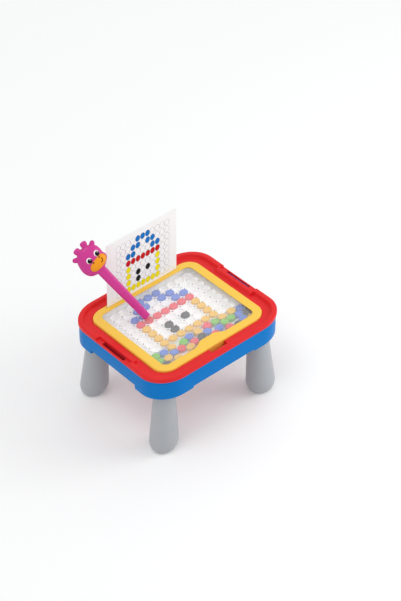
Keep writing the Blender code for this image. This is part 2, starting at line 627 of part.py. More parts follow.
def make_board_frame():
    low, high, corner = square(BOARD_HALF)
    top = BOARD_TOP_Z
    outer = quarter_arc((0, top - BEZEL_ROUND), (BEZEL_ROUND, top - BEZEL_ROUND), (BEZEL_ROUND, top), 3)
    inner = [(BEZEL - BEZEL_INNER_ROUND, top), (BEZEL, top - BEZEL_INNER_ROUND)]
    section = [(0, SPLIT_Z)] + outer + inner + [
        (BEZEL, top - LIP_THICKNESS), (FRAME_WALL, top - LIP_THICKNESS), (FRAME_WALL, SPLIT_Z)]
    ring = sweep(rounded_outline(low, high, corner), section, True)
    root = -OPENING_HALF - BEZEL_INNER_ROUND - LAP
    tip = TAB_REACH - OPENING_HALF
    base_half, tip_half = TAB_BASE / 2, TAB_TIP / 2
    tab = plate([(-base_half, root), (base_half, root), (base_half, -OPENING_HALF), (tip_half, tip),
                 (-tip_half, tip), (-base_half, -OPENING_HALF)], top - LIP_THICKNESS, top)
    slot_half = CARD_HALF + CARD_END_GAP
    slot_low = BOARD_TOP_Z - CARD_SLOT_DEPTH
    bar_end = slot_half + FRAME_WALL
    bar = box((-bar_end, CARD_PLACE - CARD_BAR_WIDTH / 2, slot_low - FRAME_WALL),
              (bar_end, BOARD_HALF - FRAME_WALL / 2, top - LIP_THICKNESS / 2))
    slot_wide = CARD_THICKNESS / 2 + SEAT_GAP
    slot = box((-slot_half, CARD_PLACE - slot_wide, slot_low),
               (slot_half, CARD_PLACE + slot_wide, top + OVERRUN))
    steps = [("UNION", tab), ("UNION", bar), ("DIFFERENCE", slot)]
    return add_part("board_frame", combine(ring, steps), "yellow_plastic")


def inner_outline():
    """Outline shared by the pieces inside the board, short at the back for the card's rib."""
    low, high, corner = square(INNER_HALF)
    return rounded_outline(low, (INNER_HALF, INNER_BACK), corner)


def make_window():
    return add_part("board_window", plate(inner_outline(), WINDOW_BOTTOM_Z, WINDOW_TOP_Z), "clear_plastic")


def make_back_frame():
    low, high, corner = square(BOARD_HALF)
    bottom = BOARD_BOTTOM_Z
    outer = quarter_arc((BEZEL_ROUND, bottom), (BEZEL_ROUND, bottom + BEZEL_ROUND),
                        (0, bottom + BEZEL_ROUND), 2)
    section = [(BACK_BEZEL, bottom)] + outer + [
        (0, SPLIT_Z - SEAT_GAP), (FRAME_WALL, SPLIT_Z - SEAT_GAP), (FRAME_WALL, bottom + BACK_LIP),
        (BACK_BEZEL, bottom + BACK_LIP)]
    ring = sweep(rounded_outline(low, high, corner), section, True)
    add_part("board_back_frame", ring, "yellow_plastic")
    half = INNER_HALF
    low, high, corner = square(half)
    panel = plate(rounded_outline(low, high, corner), PANEL_BOTTOM_Z, PANEL_BOTTOM_Z + PANEL_THICKNESS)
    add_part("drawing_panel", panel, "white_plastic")


def column_x(column):
    return (column - (COLUMNS - 1) / 2) * PITCH


def row_y(row):
    return FIRST_ROW_Y + row * PITCH


def scalloped_outline(steps=3):
    """Outer arcs of a grid of circles that overlap their neighbours, in one closed line.

    The notches between them bow outwards a hair, so that no three lie in a straight line.
    """
    cusp = math.asin(PITCH / 2 / SCALLOP_RADIUS)
    last_column, last_row = COLUMNS - 1, ROWS - 1
    sides = [([(last_column, r) for r in range(ROWS)], 0),
             ([(c, last_row) for c in range(last_column, -1, -1)], 1),
             ([(0, r) for r in range(last_row, -1, -1)], 2),
             ([(c, 0) for c in range(COLUMNS)], 3)]
    points = []
    for places, quarter in sides:
        facing = quarter * math.pi / 2
        for number, (column, row) in enumerate(places):
            start = facing - (cusp if number else 0)
            end = facing + (cusp if number < len(places) - 1 else math.pi / 2)
            count = steps if number < len(places) - 1 else steps + 1
            for step in range(count):
                angle = start + (end - start) * step / count
                bow = 0 if step else SCALLOP_BOW_SHARE * number * (len(places) - number)
                radius = SCALLOP_RADIUS * (1 + bow)
                points.append((column_x(column) + radius * math.cos(angle),
                               row_y(row) + radius * math.sin(angle)))
    return points


def bead_mesh(steps, foot_round=BEAD_ROUND):
    """A tablet with rounded edges. Its lower edge may be left square where it is sunk."""
    half = BEAD_THICKNESS / 2
    flat = BEAD_RADIUS - BEAD_ROUND
    lower = [(BEAD_RADIUS, foot_round - half)]
    if foot_round:
        lower.append((BEAD_RADIUS - foot_round, -half))
    return turned([(0, half), (flat, half), (BEAD_RADIUS, half - BEAD_ROUND)] + lower + [(0, -half)], steps)


def settled_places():
    """Loose tablets' places, pushed apart until none overlaps another, the sockets' edge or a wall."""
    spots = np.array(LOOSE_SHARES) * LOOSE_STEP_SHARE * PITCH
    border = np.array([(column_x(column), FIRST_ROW_Y) for column in range(COLUMNS)])
    corner = square(INNER_HALF)[2] - BEAD_TRAY_WALL
    core = INNER_HALF - BEAD_TRAY_WALL - corner
    room = corner - BEAD_RADIUS - LOOSE_GAP
    for step in range(SETTLE_STEPS):
        push = np.zeros_like(spots)
        for others, apart in ((spots, 2 * BEAD_RADIUS + LOOSE_GAP),
                              (border, SCALLOP_RADIUS + BEAD_RADIUS + LOOSE_GAP)):
            away = spots[:, None] - others[None]
            lengths = np.linalg.norm(away, axis=2)
            lengths[lengths == 0] = 1
            shares = np.clip(apart - lengths, 0, None) / lengths
            push += (shares[..., None] * away).sum(axis=1)
        past = spots - np.clip(spots, -core, core)
        lengths = np.maximum(np.linalg.norm(past, axis=1), room)
        push -= (1 - room / lengths)[:, None] * past
        spots = spots + SETTLE_SHARE * push
    return spots.tolist()


def make_bead_tray():
    outline = inner_outline()
    wall = BEAD_TRAY_WALL
    section = [(wall, CHANNEL_Z), (wall, BEAD_TRAY_TOP_Z), (0, BEAD_TRAY_TOP_Z), (0, BEAD_TRAY_BOTTOM_Z)]
    dish = sweep(outline, section, False)
    platform = plate(scalloped_outline(), CHANNEL_Z - BEAD_TRAY_FLOOR / 2, PLATFORM_Z)
    places = [(column_x(c), row_y(r)) for c in range(COLUMNS) for r in range(ROWS)]
    sockets = [moved(cone(SOCKET_RADIUS, SOCKET_RADIUS, PLATFORM_Z - SOCKET_DEPTH, PLATFORM_Z + OVERRUN,
                           BEAD_STEPS),
                     Matrix.Translation((x, y, 0))) for x, y in places]
    rest = CHANNEL_Z + BEAD_THICKNESS / 2 - BEAD_SINK
    loose = [moved(bead_mesh(LOOSE_STEPS, 0), Matrix.Translation((x, y, rest))) for x, y in settled_places()]
    steps = [("UNION", platform), ("DIFFERENCE", join_loose(sockets)), ("UNION", join_loose(loose))]
    return add_part("bead_tray", combine(dish, steps), "white_plastic")


def make_beads():
    mesh_of = {}
    rest = PLATFORM_Z - SOCKET_DEPTH + SEAT_GAP + BEAD_THICKNESS / 2
    for colour, places in PICTURE.items():
        mesh_of[colour] = bead_mesh(BEAD_STEPS)
        for number, (column, row) in enumerate(places, 1):
            place = Matrix.Translation((column_x(column), row_y(row), rest))
            add_part(f"bead_{colour}_{number:02d}", mesh_of[colour], f"bead_{colour}", place)


def make_card():
    half = CARD_HALF
    low_z = BOARD_TOP_Z - CARD_SLOT_DEPTH + SEAT_GAP
    card = plate(rounded_outline((-half, 0), (half, CARD_HEIGHT), CARD_CORNER, 2), -CARD_THICKNESS / 2,
                 CARD_THICKNESS / 2)
    card.transform(Matrix.Rotation(math.pi / 2, 4, "X"))
    return add_part("reference_card", card, "card", Matrix.Translation((CARD_ASIDE, CARD_PLACE, low_z)))


def pen_frame():
    """Pen's own axes: +Z from tip to head, -Y the way its face looks."""
    turn = (Matrix.Rotation(PEN_HEADING, 4, "Z") @ Matrix.Rotation(PEN_LEAN, 4, "Y")
            @ Matrix.Rotation(PEN_TURN, 4, "Z"))
    return Matrix.Translation((PEN_TIP_X, PEN_TIP_Y, PEN_TIP_Z)) @ turn


def muzzle_shape(grow):
    """Muzzle's rounded front, cut flat where it sits in the head."""
    centre = (MUZZLE_ASIDE, -MUZZLE_FORWARD, NECK_LENGTH - MUZZLE_DOWN)
    sizes = (MUZZLE_HALF_WIDTH + grow, MUZZLE_HALF_DEPTH + grow, MUZZLE_HALF_HEIGHT + grow)
    whole = ellipsoid(sizes, Matrix.Translation(centre), 18, 12)
    reach = HEAD_HALF_WIDTH + MUZZLE_HALF_WIDTH
    front = box((-reach, -reach, 0), (reach, grow - MUZZLE_SEAT, NECK_LENGTH + reach))
    return combine(whole, [("INTERSECT", front)])


def make_pen():
    flat = Matrix.Scale(NECK_FLATNESS_SHARE, 4, (0, 1, 0))
    neck = moved(cone(NECK_TIP_RADIUS, NECK_TOP_RADIUS, 0, NECK_LENGTH, 20), flat)
    head = ellipsoid((HEAD_HALF_WIDTH, HEAD_HALF_DEPTH, HEAD_HALF_HEIGHT),
                     Matrix.Translation((0, 0, NECK_LENGTH)), 20, 12)
    steps = [("UNION", head)]
    for side in (1, -1):
        horn = (Matrix.Translation((side * HORN_OUT, 0, NECK_LENGTH + HORN_UP))
                @ Matrix.Rotation(side * HORN_TILT, 4, "Y"))
        ear = (Matrix.Translation((side * EAR_OUT, 0, NECK_LENGTH + EAR_UP))
               @ Matrix.Rotation(side * EAR_TILT, 4, "Y"))
        steps.append(("UNION", ellipsoid((HORN_HALF_WIDTH, HORN_HALF_DEPTH, HORN_HALF_LENGTH), horn, 10, 8)))
        steps.append(("UNION", ellipsoid((EAR_HALF_WIDTH, EAR_HALF_DEPTH, EAR_HALF_LENGTH), ear, 10, 8)))
    hole = MAGNET_RADIUS + SEAT_GAP
    steps.append(("DIFFERENCE", cone(hole, hole, -OVERRUN, MAGNET_LENGTH - MAGNET_PROUD + SEAT_GAP, 16)))
    whole = combine(neck, steps)
    reach = NECK_LENGTH + 3 * HEAD_HALF_HEIGHT
    place = pen_frame()
    for name, facing in (("pen_front", -1), ("pen_back", 1)):
        near, far = sorted((facing * JOIN_GAP / 2, facing * reach))
        half_space = box((-reach, near, -reach), (reach, far, reach))
        half_steps = [("INTERSECT", half_space)]
        if facing < 0:
            half_steps.append(("DIFFERENCE", muzzle_shape(SEAT_GAP)))
        add_part(name, combine(whole.copy(), half_steps), "magenta_plastic", place)
    add_part("pen_muzzle", muzzle_shape(0), "orange_plastic", place)
    magnet = cone(MAGNET_RADIUS, MAGNET_RADIUS, -MAGNET_PROUD, MAGNET_LENGTH - MAGNET_PROUD, 16)
    add_part("pen_magnet", magnet, "magnet", place)


clear_scene()
PARTS = new_collection("magnetic_drawing_board")
TOOLS = new_collection("cutters")
make_tray_top()
make_tray_base()
make_screws()
make_legs()
make_board_frame()
make_window()
make_back_frame()
make_bead_tray()
make_beads()
make_card()
make_pen()
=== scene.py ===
"""Magnetic drawing board on a small play table: the finish of every surface.

Lengths are in metres. +Z is up, +Y runs to the edge with the picture card, +X to the right.
"""
import contextlib
import json
import math

import bmesh
import bpy
import numpy as np
from mathutils import Matrix, Vector


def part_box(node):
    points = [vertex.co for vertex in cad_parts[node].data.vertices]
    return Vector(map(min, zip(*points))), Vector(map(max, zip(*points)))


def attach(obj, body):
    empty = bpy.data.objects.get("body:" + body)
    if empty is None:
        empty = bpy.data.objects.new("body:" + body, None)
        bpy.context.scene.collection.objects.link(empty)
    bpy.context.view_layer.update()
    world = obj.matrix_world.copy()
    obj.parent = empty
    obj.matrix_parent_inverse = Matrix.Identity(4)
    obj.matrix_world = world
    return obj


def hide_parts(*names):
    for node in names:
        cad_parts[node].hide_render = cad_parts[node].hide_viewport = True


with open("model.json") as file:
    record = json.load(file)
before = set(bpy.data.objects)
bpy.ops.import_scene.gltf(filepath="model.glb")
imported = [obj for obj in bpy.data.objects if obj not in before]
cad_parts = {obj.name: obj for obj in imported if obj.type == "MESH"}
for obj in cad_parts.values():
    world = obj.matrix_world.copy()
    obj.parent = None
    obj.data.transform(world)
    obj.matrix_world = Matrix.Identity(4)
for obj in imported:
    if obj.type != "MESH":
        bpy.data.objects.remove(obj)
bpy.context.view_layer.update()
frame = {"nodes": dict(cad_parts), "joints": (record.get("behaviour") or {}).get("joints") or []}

bl_info = {
    "name": "Magnetic drawing board",
    "version": (1, 0, 0),
    "blender": (4, 5, 0),
    "location": "View3D > Sidebar > Drawing board",
    "description": "Builds a magnetic drawing board on a play table, with its pen and picture card",
    "category": "Add Mesh",
}

MM = 0.001
DEG = math.pi / 180
SEAM = 0.3 * MM              # between pieces that touch
RAMP = 0.3 * MM              # run of a moulded step along an edge
TINY = 0.002 * MM            # points closer than this are one
WELD = 10 * TINY             # the same for cells that share a border
ALMOST_ZERO = 1e-9           # keeps a quotient finite
# Roundings of a moulding's edges, from the sharpest to the softest
KEEN, CRISP, NEAT, FINE, MILD, EASY, SOFT, FULL = (
    size * MM for size in (0.2, 0.3, 0.4, 0.5, 0.6, 0.8, 1, 1.2))
ROUND_REACH = 1.4            # radii that an edge's curve takes up on either side
ROUND_LIMIT = 0.48           # most of the shorter edge that a rounding takes up
SHARP_ANGLE = 32 * DEG
ARC_STEPS = 24               # of a quarter-circle corner, seen from above
ROUND_STEPS = 5              # of a rounded edge, across it


def lowest(node):
    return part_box(node)[0]


def highest(node):
    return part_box(node)[1]


def nodes_named(start):
    return sorted(name for name in frame["nodes"] if name.startswith(start))


# Heights and widths that the frame gives
TABLE_HALF = highest("tray_top").x
RIM_Z = highest("tray_top").z
SEAM_Z = highest("tray_base").z + SEAM
SKIRT_HALF = highest("tray_base").x
POD_Z = lowest("tray_base").z
BOARD_HALF = highest("board_frame").x
BOARD_Z = highest("board_frame").z
SPLIT_Z = lowest("board_frame").z
BOARD_LOW_Z = lowest("board_back_frame").z
WINDOW_Z = highest("board_window").z
WINDOW_LOW_Z = lowest("board_window").z
INNER_HALF = highest("board_window").x
INNER_BACK = highest("board_window").y
WINDOW_BOX = ((-INNER_HALF, -INNER_HALF), (INNER_HALF, INNER_BACK))
PANEL_Z = highest("drawing_panel").z
PANEL_LOW_Z = lowest("drawing_panel").z
DISH_Z = highest("bead_tray").z
DISH_LOW_Z = lowest("bead_tray").z
CARD_LOW = lowest("reference_card")
CARD_HIGH = highest("reference_card")
CARD_Y = (CARD_LOW.y + CARD_HIGH.y) / 2
BEAD_NODES = [name for name in nodes_named("bead_") if name != "bead_tray"]
JOINTS = {joint["name"]: joint for joint in frame["joints"]}


def srgb(text):
    """Linear colour of an sRGB hex value."""
    parts = [int(text[i:i + 2], 16) / 255 for i in (1, 3, 5)]
    return tuple(p / 12.92 if p <= 0.04045 else ((p + 0.055) / 1.055) ** 2.4 for p in parts)


def number(name, value, description, unit="NONE"):
    return bpy.props.FloatProperty(name=name, description=description, default=value, unit=unit)


def length(name, millimetres, description):
    return number(name, millimetres * MM, description, "LENGTH")


def angle(name, degrees, description):
    return number(name, degrees * DEG, description, "ROTATION")


def colour(name, text, description):
    return bpy.props.FloatVectorProperty(name=name, description=description, default=srgb(text),
                                         subtype="COLOR", min=0, max=1)


class TraySizes(bpy.types.PropertyGroup):
    corner: length("Corner", 49, "Radius of the table top's corners")
    rim_width: length("Rim width", 8.6, "Flat top of the rim")
    rim_rise: length("Rim rise", 5.5, "Rim above the ledge")
    rim_slope: length("Rim slope", 1.9, "Run of the rim's inner face")
    rim_round: length("Rim rounding", 3, "Rounding of the rim's outer edge")
    wall: length("Wall", 2.4, "Thickness of the moulding")
    well_gap: length("Well gap", 0.6, "Room round the board")
    tongue_inset: length("Tongue inset", 5, "Centring rib, in from the outer edge")
    tongue_wall: length("Tongue wall", 2, "Thickness of the centring rib")
    tongue_depth: length("Tongue depth", 4.5, "Centring rib below the seam")
    lip_length: length("Lip length", 88, "Lowered stretch of the rim at a hand slot")
    lip_drop: length("Lip drop", 3.5, "Lowered stretch below the rim")
    lip_wall: length("Lip wall", 2.3, "Outer wall of a hand slot")
    slot_length: length("Slot length", 58, "Hand slot along the edge")
    slot_width: length("Slot width", 6.3, "Hand slot across the edge")
    slot_depth: length("Slot depth", 15, "Slot's own walls below the ledge")
    bar_length: length("Bar length", 93, "Wide stretch of rim inside a hand slot")
    bar_width: length("Bar width", 6, "Flat top of that stretch")
    bar_slope: length("Bar slope", 3.2, "Run of its inner face")
    pocket_length: length("Pocket length", 30, "Finger pocket along the front")
    pocket_width: length("Pocket width", 8.5, "Finger pocket across the ledge")
    pocket_depth: length("Pocket depth", 12, "Finger pocket below the ledge")
    boss_radius: length("Boss radius", 3.6, "Screw boss")
    boss_side: length("Boss place", 72, "Screw boss along the side")
    boss_inset: length("Boss inset", 16, "Screw boss in from the edge")
    skirt_wall: length("Skirt wall", 2.2, "Thickness of the blue skirt")
    skirt_side_depth: length("Side depth", 27.8, "Skirt below the seam at the left and right")
    skirt_front_depth: length("Front depth", 31.9, "Skirt below the seam at the front and back")
    pod_edge: length("Pod edge", 60, "Inner edge of a corner pod, from the middle")
    pod_step: length("Pod step", 1.8, "Run of the step down to a pod")
    pod_round: length("Pod rounding", 2, "Rounding of a pod's lower edge")


class LegSizes(bpy.types.PropertyGroup):
    top_radius: length("Top radius", 16.8, "Leg at the pod")
    wide_radius: length("Wide radius", 23.8, "Leg at its widest")
    wide_height: length("Wide height", 20, "Height of the widest place")
    foot_radius: length("Foot radius", 13, "Flat of the foot")
    plug_radius: length("Plug radius", 14.4, "Push-in plug")
    plug_length: length("Plug length", 11.5, "Push-in plug")
    wall: length("Wall", 2.4, "Thickness of the moulding")


class BoardSizes(bpy.types.PropertyGroup):
    bezel: length("Bezel", 15, "Width of the yellow frame round the window")
    outer_round: length("Outer rounding", 2.4, "Rounding of the frame's outer edge")
    inner_round: length("Inner rounding", 1.1, "Rounding of the window opening")
    lip: length("Lip", 2.7, "Thickness of the frame over the window")
    rebate: length("Rebate", 1.5, "Undercut of the frame's inner edge, above the window")
    wall: length("Wall", 2.2, "Side walls of the frame")
    slot_half: length("Card slot", 70.3, "Half of the card slot's length")
    slot_width: length("Card slot width", 1.6, "Card slot across the frame")
    slot_depth: length("Card slot depth", 7.7, "Card slot below the frame's top")
    bar_width: length("Slot bar", 5.4, "Rib under the frame that holds the slot")
    tab_base: length("Tab base", 56, "Tab over the loose tablets, at the frame")
    tab_tip: length("Tab tip", 26, "Tab at its tip")
    tab_reach: length("Tab reach", 9.5, "Tab towards the window's middle")
    back_lip: length("Back lip", 1.3, "Rear frame under the drawing panel")
    dish_wall: length("Dish wall", 2.2, "Side walls of the tablet tray")
    dish_floor: length("Dish floor", 1.6, "Floor of the tablet tray")
    platform: length("Platform", 3.8, "Sockets' platform above the tray's floor")


class TabletSizes(bpy.types.PropertyGroup):
    pitch: length("Pitch", 16, "From socket to socket")
    socket_radius: length("Socket radius", 7.5, "Radius of a socket")
    socket_depth: length("Socket depth", 3, "Depth of a socket")
    scallop_radius: length("Scallop radius", 8.6, "Outer arcs of the platform")
    last_row: length("Last row", 14.8, "Last row of sockets, from the tray's back edge")
    radius: length("Radius", 7, "Radius of a tablet")
    thickness: length("Thickness", 6, "Thickness of a tablet")
    rounding: length("Rounding", 1.5, "Rounding of a tablet's edges")
    dimple: length("Dimple", 0.25, "Sunk middle of a tablet's faces")
    loose_gap: length("Loose gap", 0.5, "Least gap between loose tablets")
    loose_tilt: angle("Loose tilt", 9, "Largest tilt of a loose tablet")


class PenSizes(bpy.types.PropertyGroup):
    turn: angle("Turn", 212.4, "Turn of the face about the pen's axis")
    tip_radius: length("Tip radius", 6.2, "Half width of the neck at the tip")
    top_radius: length("Top radius", 8.2, "Half width of the neck at the head")
    neck_flatness: number("Neck flatness", 0.86, "Neck's thickness as a share of its width")
    head_up: length("Head place", 144.2, "From the tip to the head's middle")
    head_aside: length("Head aside", -0.8, "Head's middle beside the neck's axis")
    head_back: length("Head back", 1.6, "Head's middle behind the neck's axis")
    head_tilt: angle("Head tilt", 11.4, "Lean of the head to one side")
    head_width: length("Head width", 20.9, "Half width of the head")
    head_height: length("Head height", 26.4, "Half height of the head")
    head_depth: length("Head depth", 11, "Half depth of the head")
    horn_width: length("Horn width", 5.5, "Half width of a horn's knob")
    horn_shaft: length("Horn shaft", 4.2, "Half width of a horn below its knob")
    ear_length: length("Ear length", 6.4, "Half length of an ear")
    ear_width: length("Ear width", 4.4, "Half width of an ear")
    muzzle_width: length("Muzzle width", 16.3, "Half width of the muzzle")
    muzzle_height: length("Muzzle height", 10.7, "Half height of the muzzle")
    muzzle_depth: length("Muzzle depth", 9.2, "Half depth of the muzzle")
    magnet_radius: length("Magnet radius", 4, "Magnet in the tip")
    magnet_length: length("Magnet length", 9, "Magnet in the tip")
    voxel: length("Voxel", 0.6, "Grain of the mesh that blends head, cheeks, horns and ears")


class PlasticColours(bpy.types.PropertyGroup):
    red: colour("Red", "#DF272A", "Table top")
    blue: colour("Blue", "#0C78C6", "Skirt")
    yellow: colour("Yellow", "#F5C853", "Board's frames")
    grey: colour("Grey", "#ABAEB2", "Legs")
    white: colour("White", "#FBFBFB", "Tablet tray and drawing panel")
    magenta: colour("Magenta", "#CE3690", "Pen")
    orange: colour("Orange", "#F59E22", "Pen's muzzle")
    tablet_blue: colour("Blue tablets", "#4A76D8", "Tablets")
    tablet_red: colour("Red tablets", "#EE2A45", "Tablets")
    tablet_yellow: colour("Yellow tablets", "#EFBC1A", "Tablets")
    tablet_green: colour("Green tablets", "#6FC01E", "Tablets")
    tablet_black: colour("Black tablets", "#1A1A1B", "Tablets")
    print_blue: colour("Blue ink", "#0A73C4", "Card")
    print_red: colour("Red ink", "#C81018", "Card")
    print_yellow: colour("Yellow ink", "#F2E613", "Card")
    print_black: colour("Black ink", "#141414", "Card")
    print_grey: colour("Grey ink", "#A9A9B4", "Outlines on the card")


class StageSettings(bpy.types.PropertyGroup):
    floor: colour("Floor", "#EBECEC", "Floor")
    sun: number("Sun", 0.5, "Strength of the lamp overhead on the left")
    sky: number("Sky", 0.8, "Strength of the even light from all sides")
    fill: number("Fill", 5.0, "Strength of the broad lamp in front on the right")
    backdrop: number("Backdrop", 1.0, "Brightness of the background that the camera sees")


GROUPS = {"tray": TraySizes, "leg": LegSizes, "board": BoardSizes, "tablet": TabletSizes, "pen": PenSizes,
          "colours": PlasticColours, "stage": StageSettings}


def settings(group):
    return getattr(bpy.context.scene, "drawing_board_" + group)


def full_turn(steps, start=0):
    """Angles of a circle's evenly spaced points. The start is in steps."""
    return (np.arange(steps) + start) / steps * 2 * math.pi


def circle(turns):
    """Points of the unit circle at these angles."""
    return np.stack([np.cos(turns), np.sin(turns)], axis=1)


class Path:
    """Closed line round a rectangle with quarter-circle corners, anticlockwise seen from above.

    Side k faces k quarter turns from +X. It runs straight through its own stops, measured from the
    rectangle's middle, and ends in an arc. A station's place at an inset is
    core + (corner - inset) * facing, so that every inset line is parallel to the first.
    """

    def __init__(self, low, high, corner, stops=None, arc_steps=ARC_STEPS):
        low, high = np.array(low[:2]), np.array(high[:2])
        middle, half = (low + high) / 2, (high - low) / 2 - corner
        parts = []
        for side in range(4):
            out = np.array([round(math.cos(side * math.pi / 2)), round(math.sin(side * math.pi / 2))])
            run = np.array([-out[1], out[0]])
            reach, end = abs(out @ half), abs(run @ half)
            inner = np.array(sorted((stops or {}).get(side, [])), dtype=float)
            along = np.concatenate([[-end], inner[np.abs(inner) < end - TINY], [end]])
            parts.append((middle + out * reach + run * along[:, None], np.tile(out, (len(along), 1)),
                          np.full(len(along), side), along))
            facing = circle((side + np.arange(1, arc_steps) / arc_steps) * math.pi / 2)
            parts.append((np.tile(middle + out * reach + run * end, (len(facing), 1)), facing,
                          np.full(len(facing), -1), np.full(len(facing), end)))
        self.core, self.facing, self.side, self.along = (np.concatenate(column) for column in zip(*parts))
        self.corner = corner

    def stretch(self, sides, half, ramp=RAMP):
        """1 on a stretch about the middle of the named sides, 0 elsewhere, with a straight ramp between."""
        share = np.clip((half + ramp / 2 - np.abs(self.along)) / ramp, 0, 1)
        return share * np.isin(self.side, sides)

    def section(self, *corners):
        """A section's corners as an array of points and an array of their roundings.

        A corner is (inset, height) where it is sharp, or else (inset, height, rounding). Each of these is
        a number or one value for each station.
        """
        count = len(self.along)
        rows = [[np.broadcast_to(value, count) for value in corner[:2]] for corner in corners]
        radii = [np.broadcast_to(corner[2] if len(corner) > 2 else 0, count) for corner in corners]
        return np.moveaxis(np.array(rows), 1, -1), np.array(radii)

    def carry(self, corners, closed):
        """The surface that a section leaves: every rounded section point moved to its inset line."""
        points = rounded(*self.section(*corners), closed)
        inset, height = points[..., 0], points[..., 1]
        flat = self.core + (self.corner - inset)[..., None] * self.facing
        return np.concatenate([flat, height[..., None]], axis=-1)


def steps_at(*halves, ramp=RAMP):
    """Stops on a side that carry the ramps of stretches with these half lengths."""
    marks = np.array([half + share * ramp for half in halves for share in (-0.5, 0.5)])
    return np.concatenate([-marks, marks])


def rounded(points, radii, closed):
    """Replace each corner by a quadratic curve that leaves and meets its edges a radius away.

    The radius is limited to under half of the shorter edge. Points are (corners, stations, 2).
    """
    back = np.roll(points, 1, axis=0) - points
    ahead = np.roll(points, -1, axis=0) - points
    back_length, ahead_length = (np.maximum(np.linalg.norm(way, axis=-1), ALMOST_ZERO)
                                 for way in (back, ahead))
    reach = np.minimum(radii, ROUND_LIMIT * np.minimum(back_length, ahead_length))
    start = points + back * (reach / back_length)[..., None]
    end = points + ahead * (reach / ahead_length)[..., None]
    share = np.linspace(0, 1, ROUND_STEPS + 1)[:, None, None]
    rows = []
    for index in range(len(points)):
        last = not closed and index in (0, len(points) - 1)
        if last or not radii[index].any():
            rows.append(points[index][None])
        else:
            rows.append((1 - share) ** 2 * start[index] + 2 * share * (1 - share) * points[index]
                        + share ** 2 * end[index])
    return np.concatenate(rows)


def surface(grid, wrap=False, caps=False):
    """Points and faces of a grid whose rows are closed lines.

    The last row joins the first where it wraps. Caps close the first and the last row.
    """
    rows, columns = grid.shape[:2]
    index = np.arange(rows * columns).reshape(rows, columns)
    low = index if wrap else index[:-1]
    high = np.roll(index, -1, axis=0) if wrap else index[1:]
    quads = np.stack([low, np.roll(low, -1, axis=1), np.roll(high, -1, axis=1), high], axis=-1)
    faces = quads.reshape(-1, 4).tolist()
    if caps:
        faces += [index[0].tolist(), index[-1].tolist()]
    return grid.reshape(-1, 3), faces


@contextlib.contextmanager
def edited(mesh, result=None):
    """A mesh opened for work on its points and faces, then written back, or to the result if given."""
    shape = bmesh.new()
    shape.from_mesh(mesh)
    yield shape
    shape.to_mesh(mesh if result is None else result)
    shape.free()


def open_edges(shape):
    return [edge for edge in shape.edges if edge.is_boundary]


def to_mesh(name, shapes, merge=TINY):
    """One mesh of several shapes, each (points, faces), with doubles merged and faces outwards."""
    points, faces, offset = [], [], 0
    for shape_points, shape_faces in shapes:
        points.append(shape_points)
        faces += [[corner + offset for corner in face] for face in shape_faces]
        offset += len(shape_points)
    mesh = bpy.data.meshes.new(name)
    mesh.from_pydata(np.concatenate(points).tolist(), [], faces)
    with edited(mesh) as shape:
        bmesh.ops.remove_doubles(shape, verts=shape.verts, dist=merge)
        bmesh.ops.dissolve_degenerate(shape, edges=shape.edges, dist=merge)
        bmesh.ops.recalc_face_normals(shape, faces=shape.faces)
    return mesh


def turned(profile, steps=48, centre=None):
    """Surface of circles: the profile's (radius, height) points turned about an upright line.

    The line may lean: centre gives its place in X and Y at each height.
    """
    profile = np.array(profile, dtype=float)
    flat = profile[:, None, :1] * circle(full_turn(steps))[None]
    if centre is not None:
        flat = flat + centre(profile[:, 1])[:, None, :]
    height = np.broadcast_to(profile[:, 1, None, None], flat.shape[:2] + (1,))
    return surface(np.concatenate([flat, height], axis=-1))


def soft_profile(points, radii):
    """A (radius, height) profile with its corners rounded."""
    corners = np.array(points, dtype=float)[:, None, :]
    return rounded(corners, np.array(radii, dtype=float)[:, None], False)[:, 0, :]


def arc(start, centre, end, steps):
    """Quarter of an ellipse from start to end about centre, both ends included."""
    turns = np.linspace(0, math.pi / 2, steps + 1)[:, None]
    start, centre, end = np.array(start), np.array(centre), np.array(end)
    return centre + (start - centre) * np.cos(turns) + (end - centre) * np.sin(turns)


CAP_SHARE = 0.9              # a flat cap starts this share of the corner's radius in from the edge


def prism(low, high, corner, low_z, high_z, edge=0.0, arc_steps=ARC_STEPS):
    """Rectangle with round corners given thickness, its edges rounded."""
    path = Path(low, high, corner, arc_steps=arc_steps)
    deep = corner * CAP_SHARE
    section = [(deep, high_z), (0, high_z, edge), (0, low_z, edge), (deep, low_z)]
    return surface(path.carry(section, False), caps=True)


def moved(shape, matrix):
    """A shape with its points turned and shifted by a matrix."""
    points, faces = shape
    matrix = np.array(matrix)
    return points @ matrix[:3, :3].T + matrix[:3, 3], faces


def merged_copy(node):
    """The frame's mesh with its loose triangles joined."""
    mesh = bpy.data.meshes.new(node + "_copy")
    with edited(frame["nodes"][node].data, mesh) as shape:
        bmesh.ops.remove_doubles(shape, verts=shape.verts, dist=TINY)
    return mesh


def placed(name, data):
    """A new object in the scene."""
    item = bpy.data.objects.new(name, data)
    bpy.context.scene.collection.objects.link(item)
    return item


def applied(holder, *tools):
    """A mesh with its object's modifiers applied. The object and its tools are removed."""
    view = bpy.context.evaluated_depsgraph_get()
    result = bpy.data.meshes.new_from_object(holder.evaluated_get(view))
    for item in (holder, *tools):
        bpy.data.objects.remove(item, do_unlink=True)
    return result


def combine(base, steps):
    """Run a list of (operation, mesh) on a mesh, and close any triangle or quad that it leaves open."""
    holder, tools = placed("body", base), []
    for operation, mesh in steps:
        tools.append(placed("tool", mesh))
        change = holder.modifiers.new("change", "BOOLEAN")
        change.operation, change.solver, change.object = operation, "EXACT", tools[-1]
    result = applied(holder, *tools)
    with edited(result) as shape:
        bmesh.ops.holes_fill(shape, edges=open_edges(shape), sides=4)
    return result


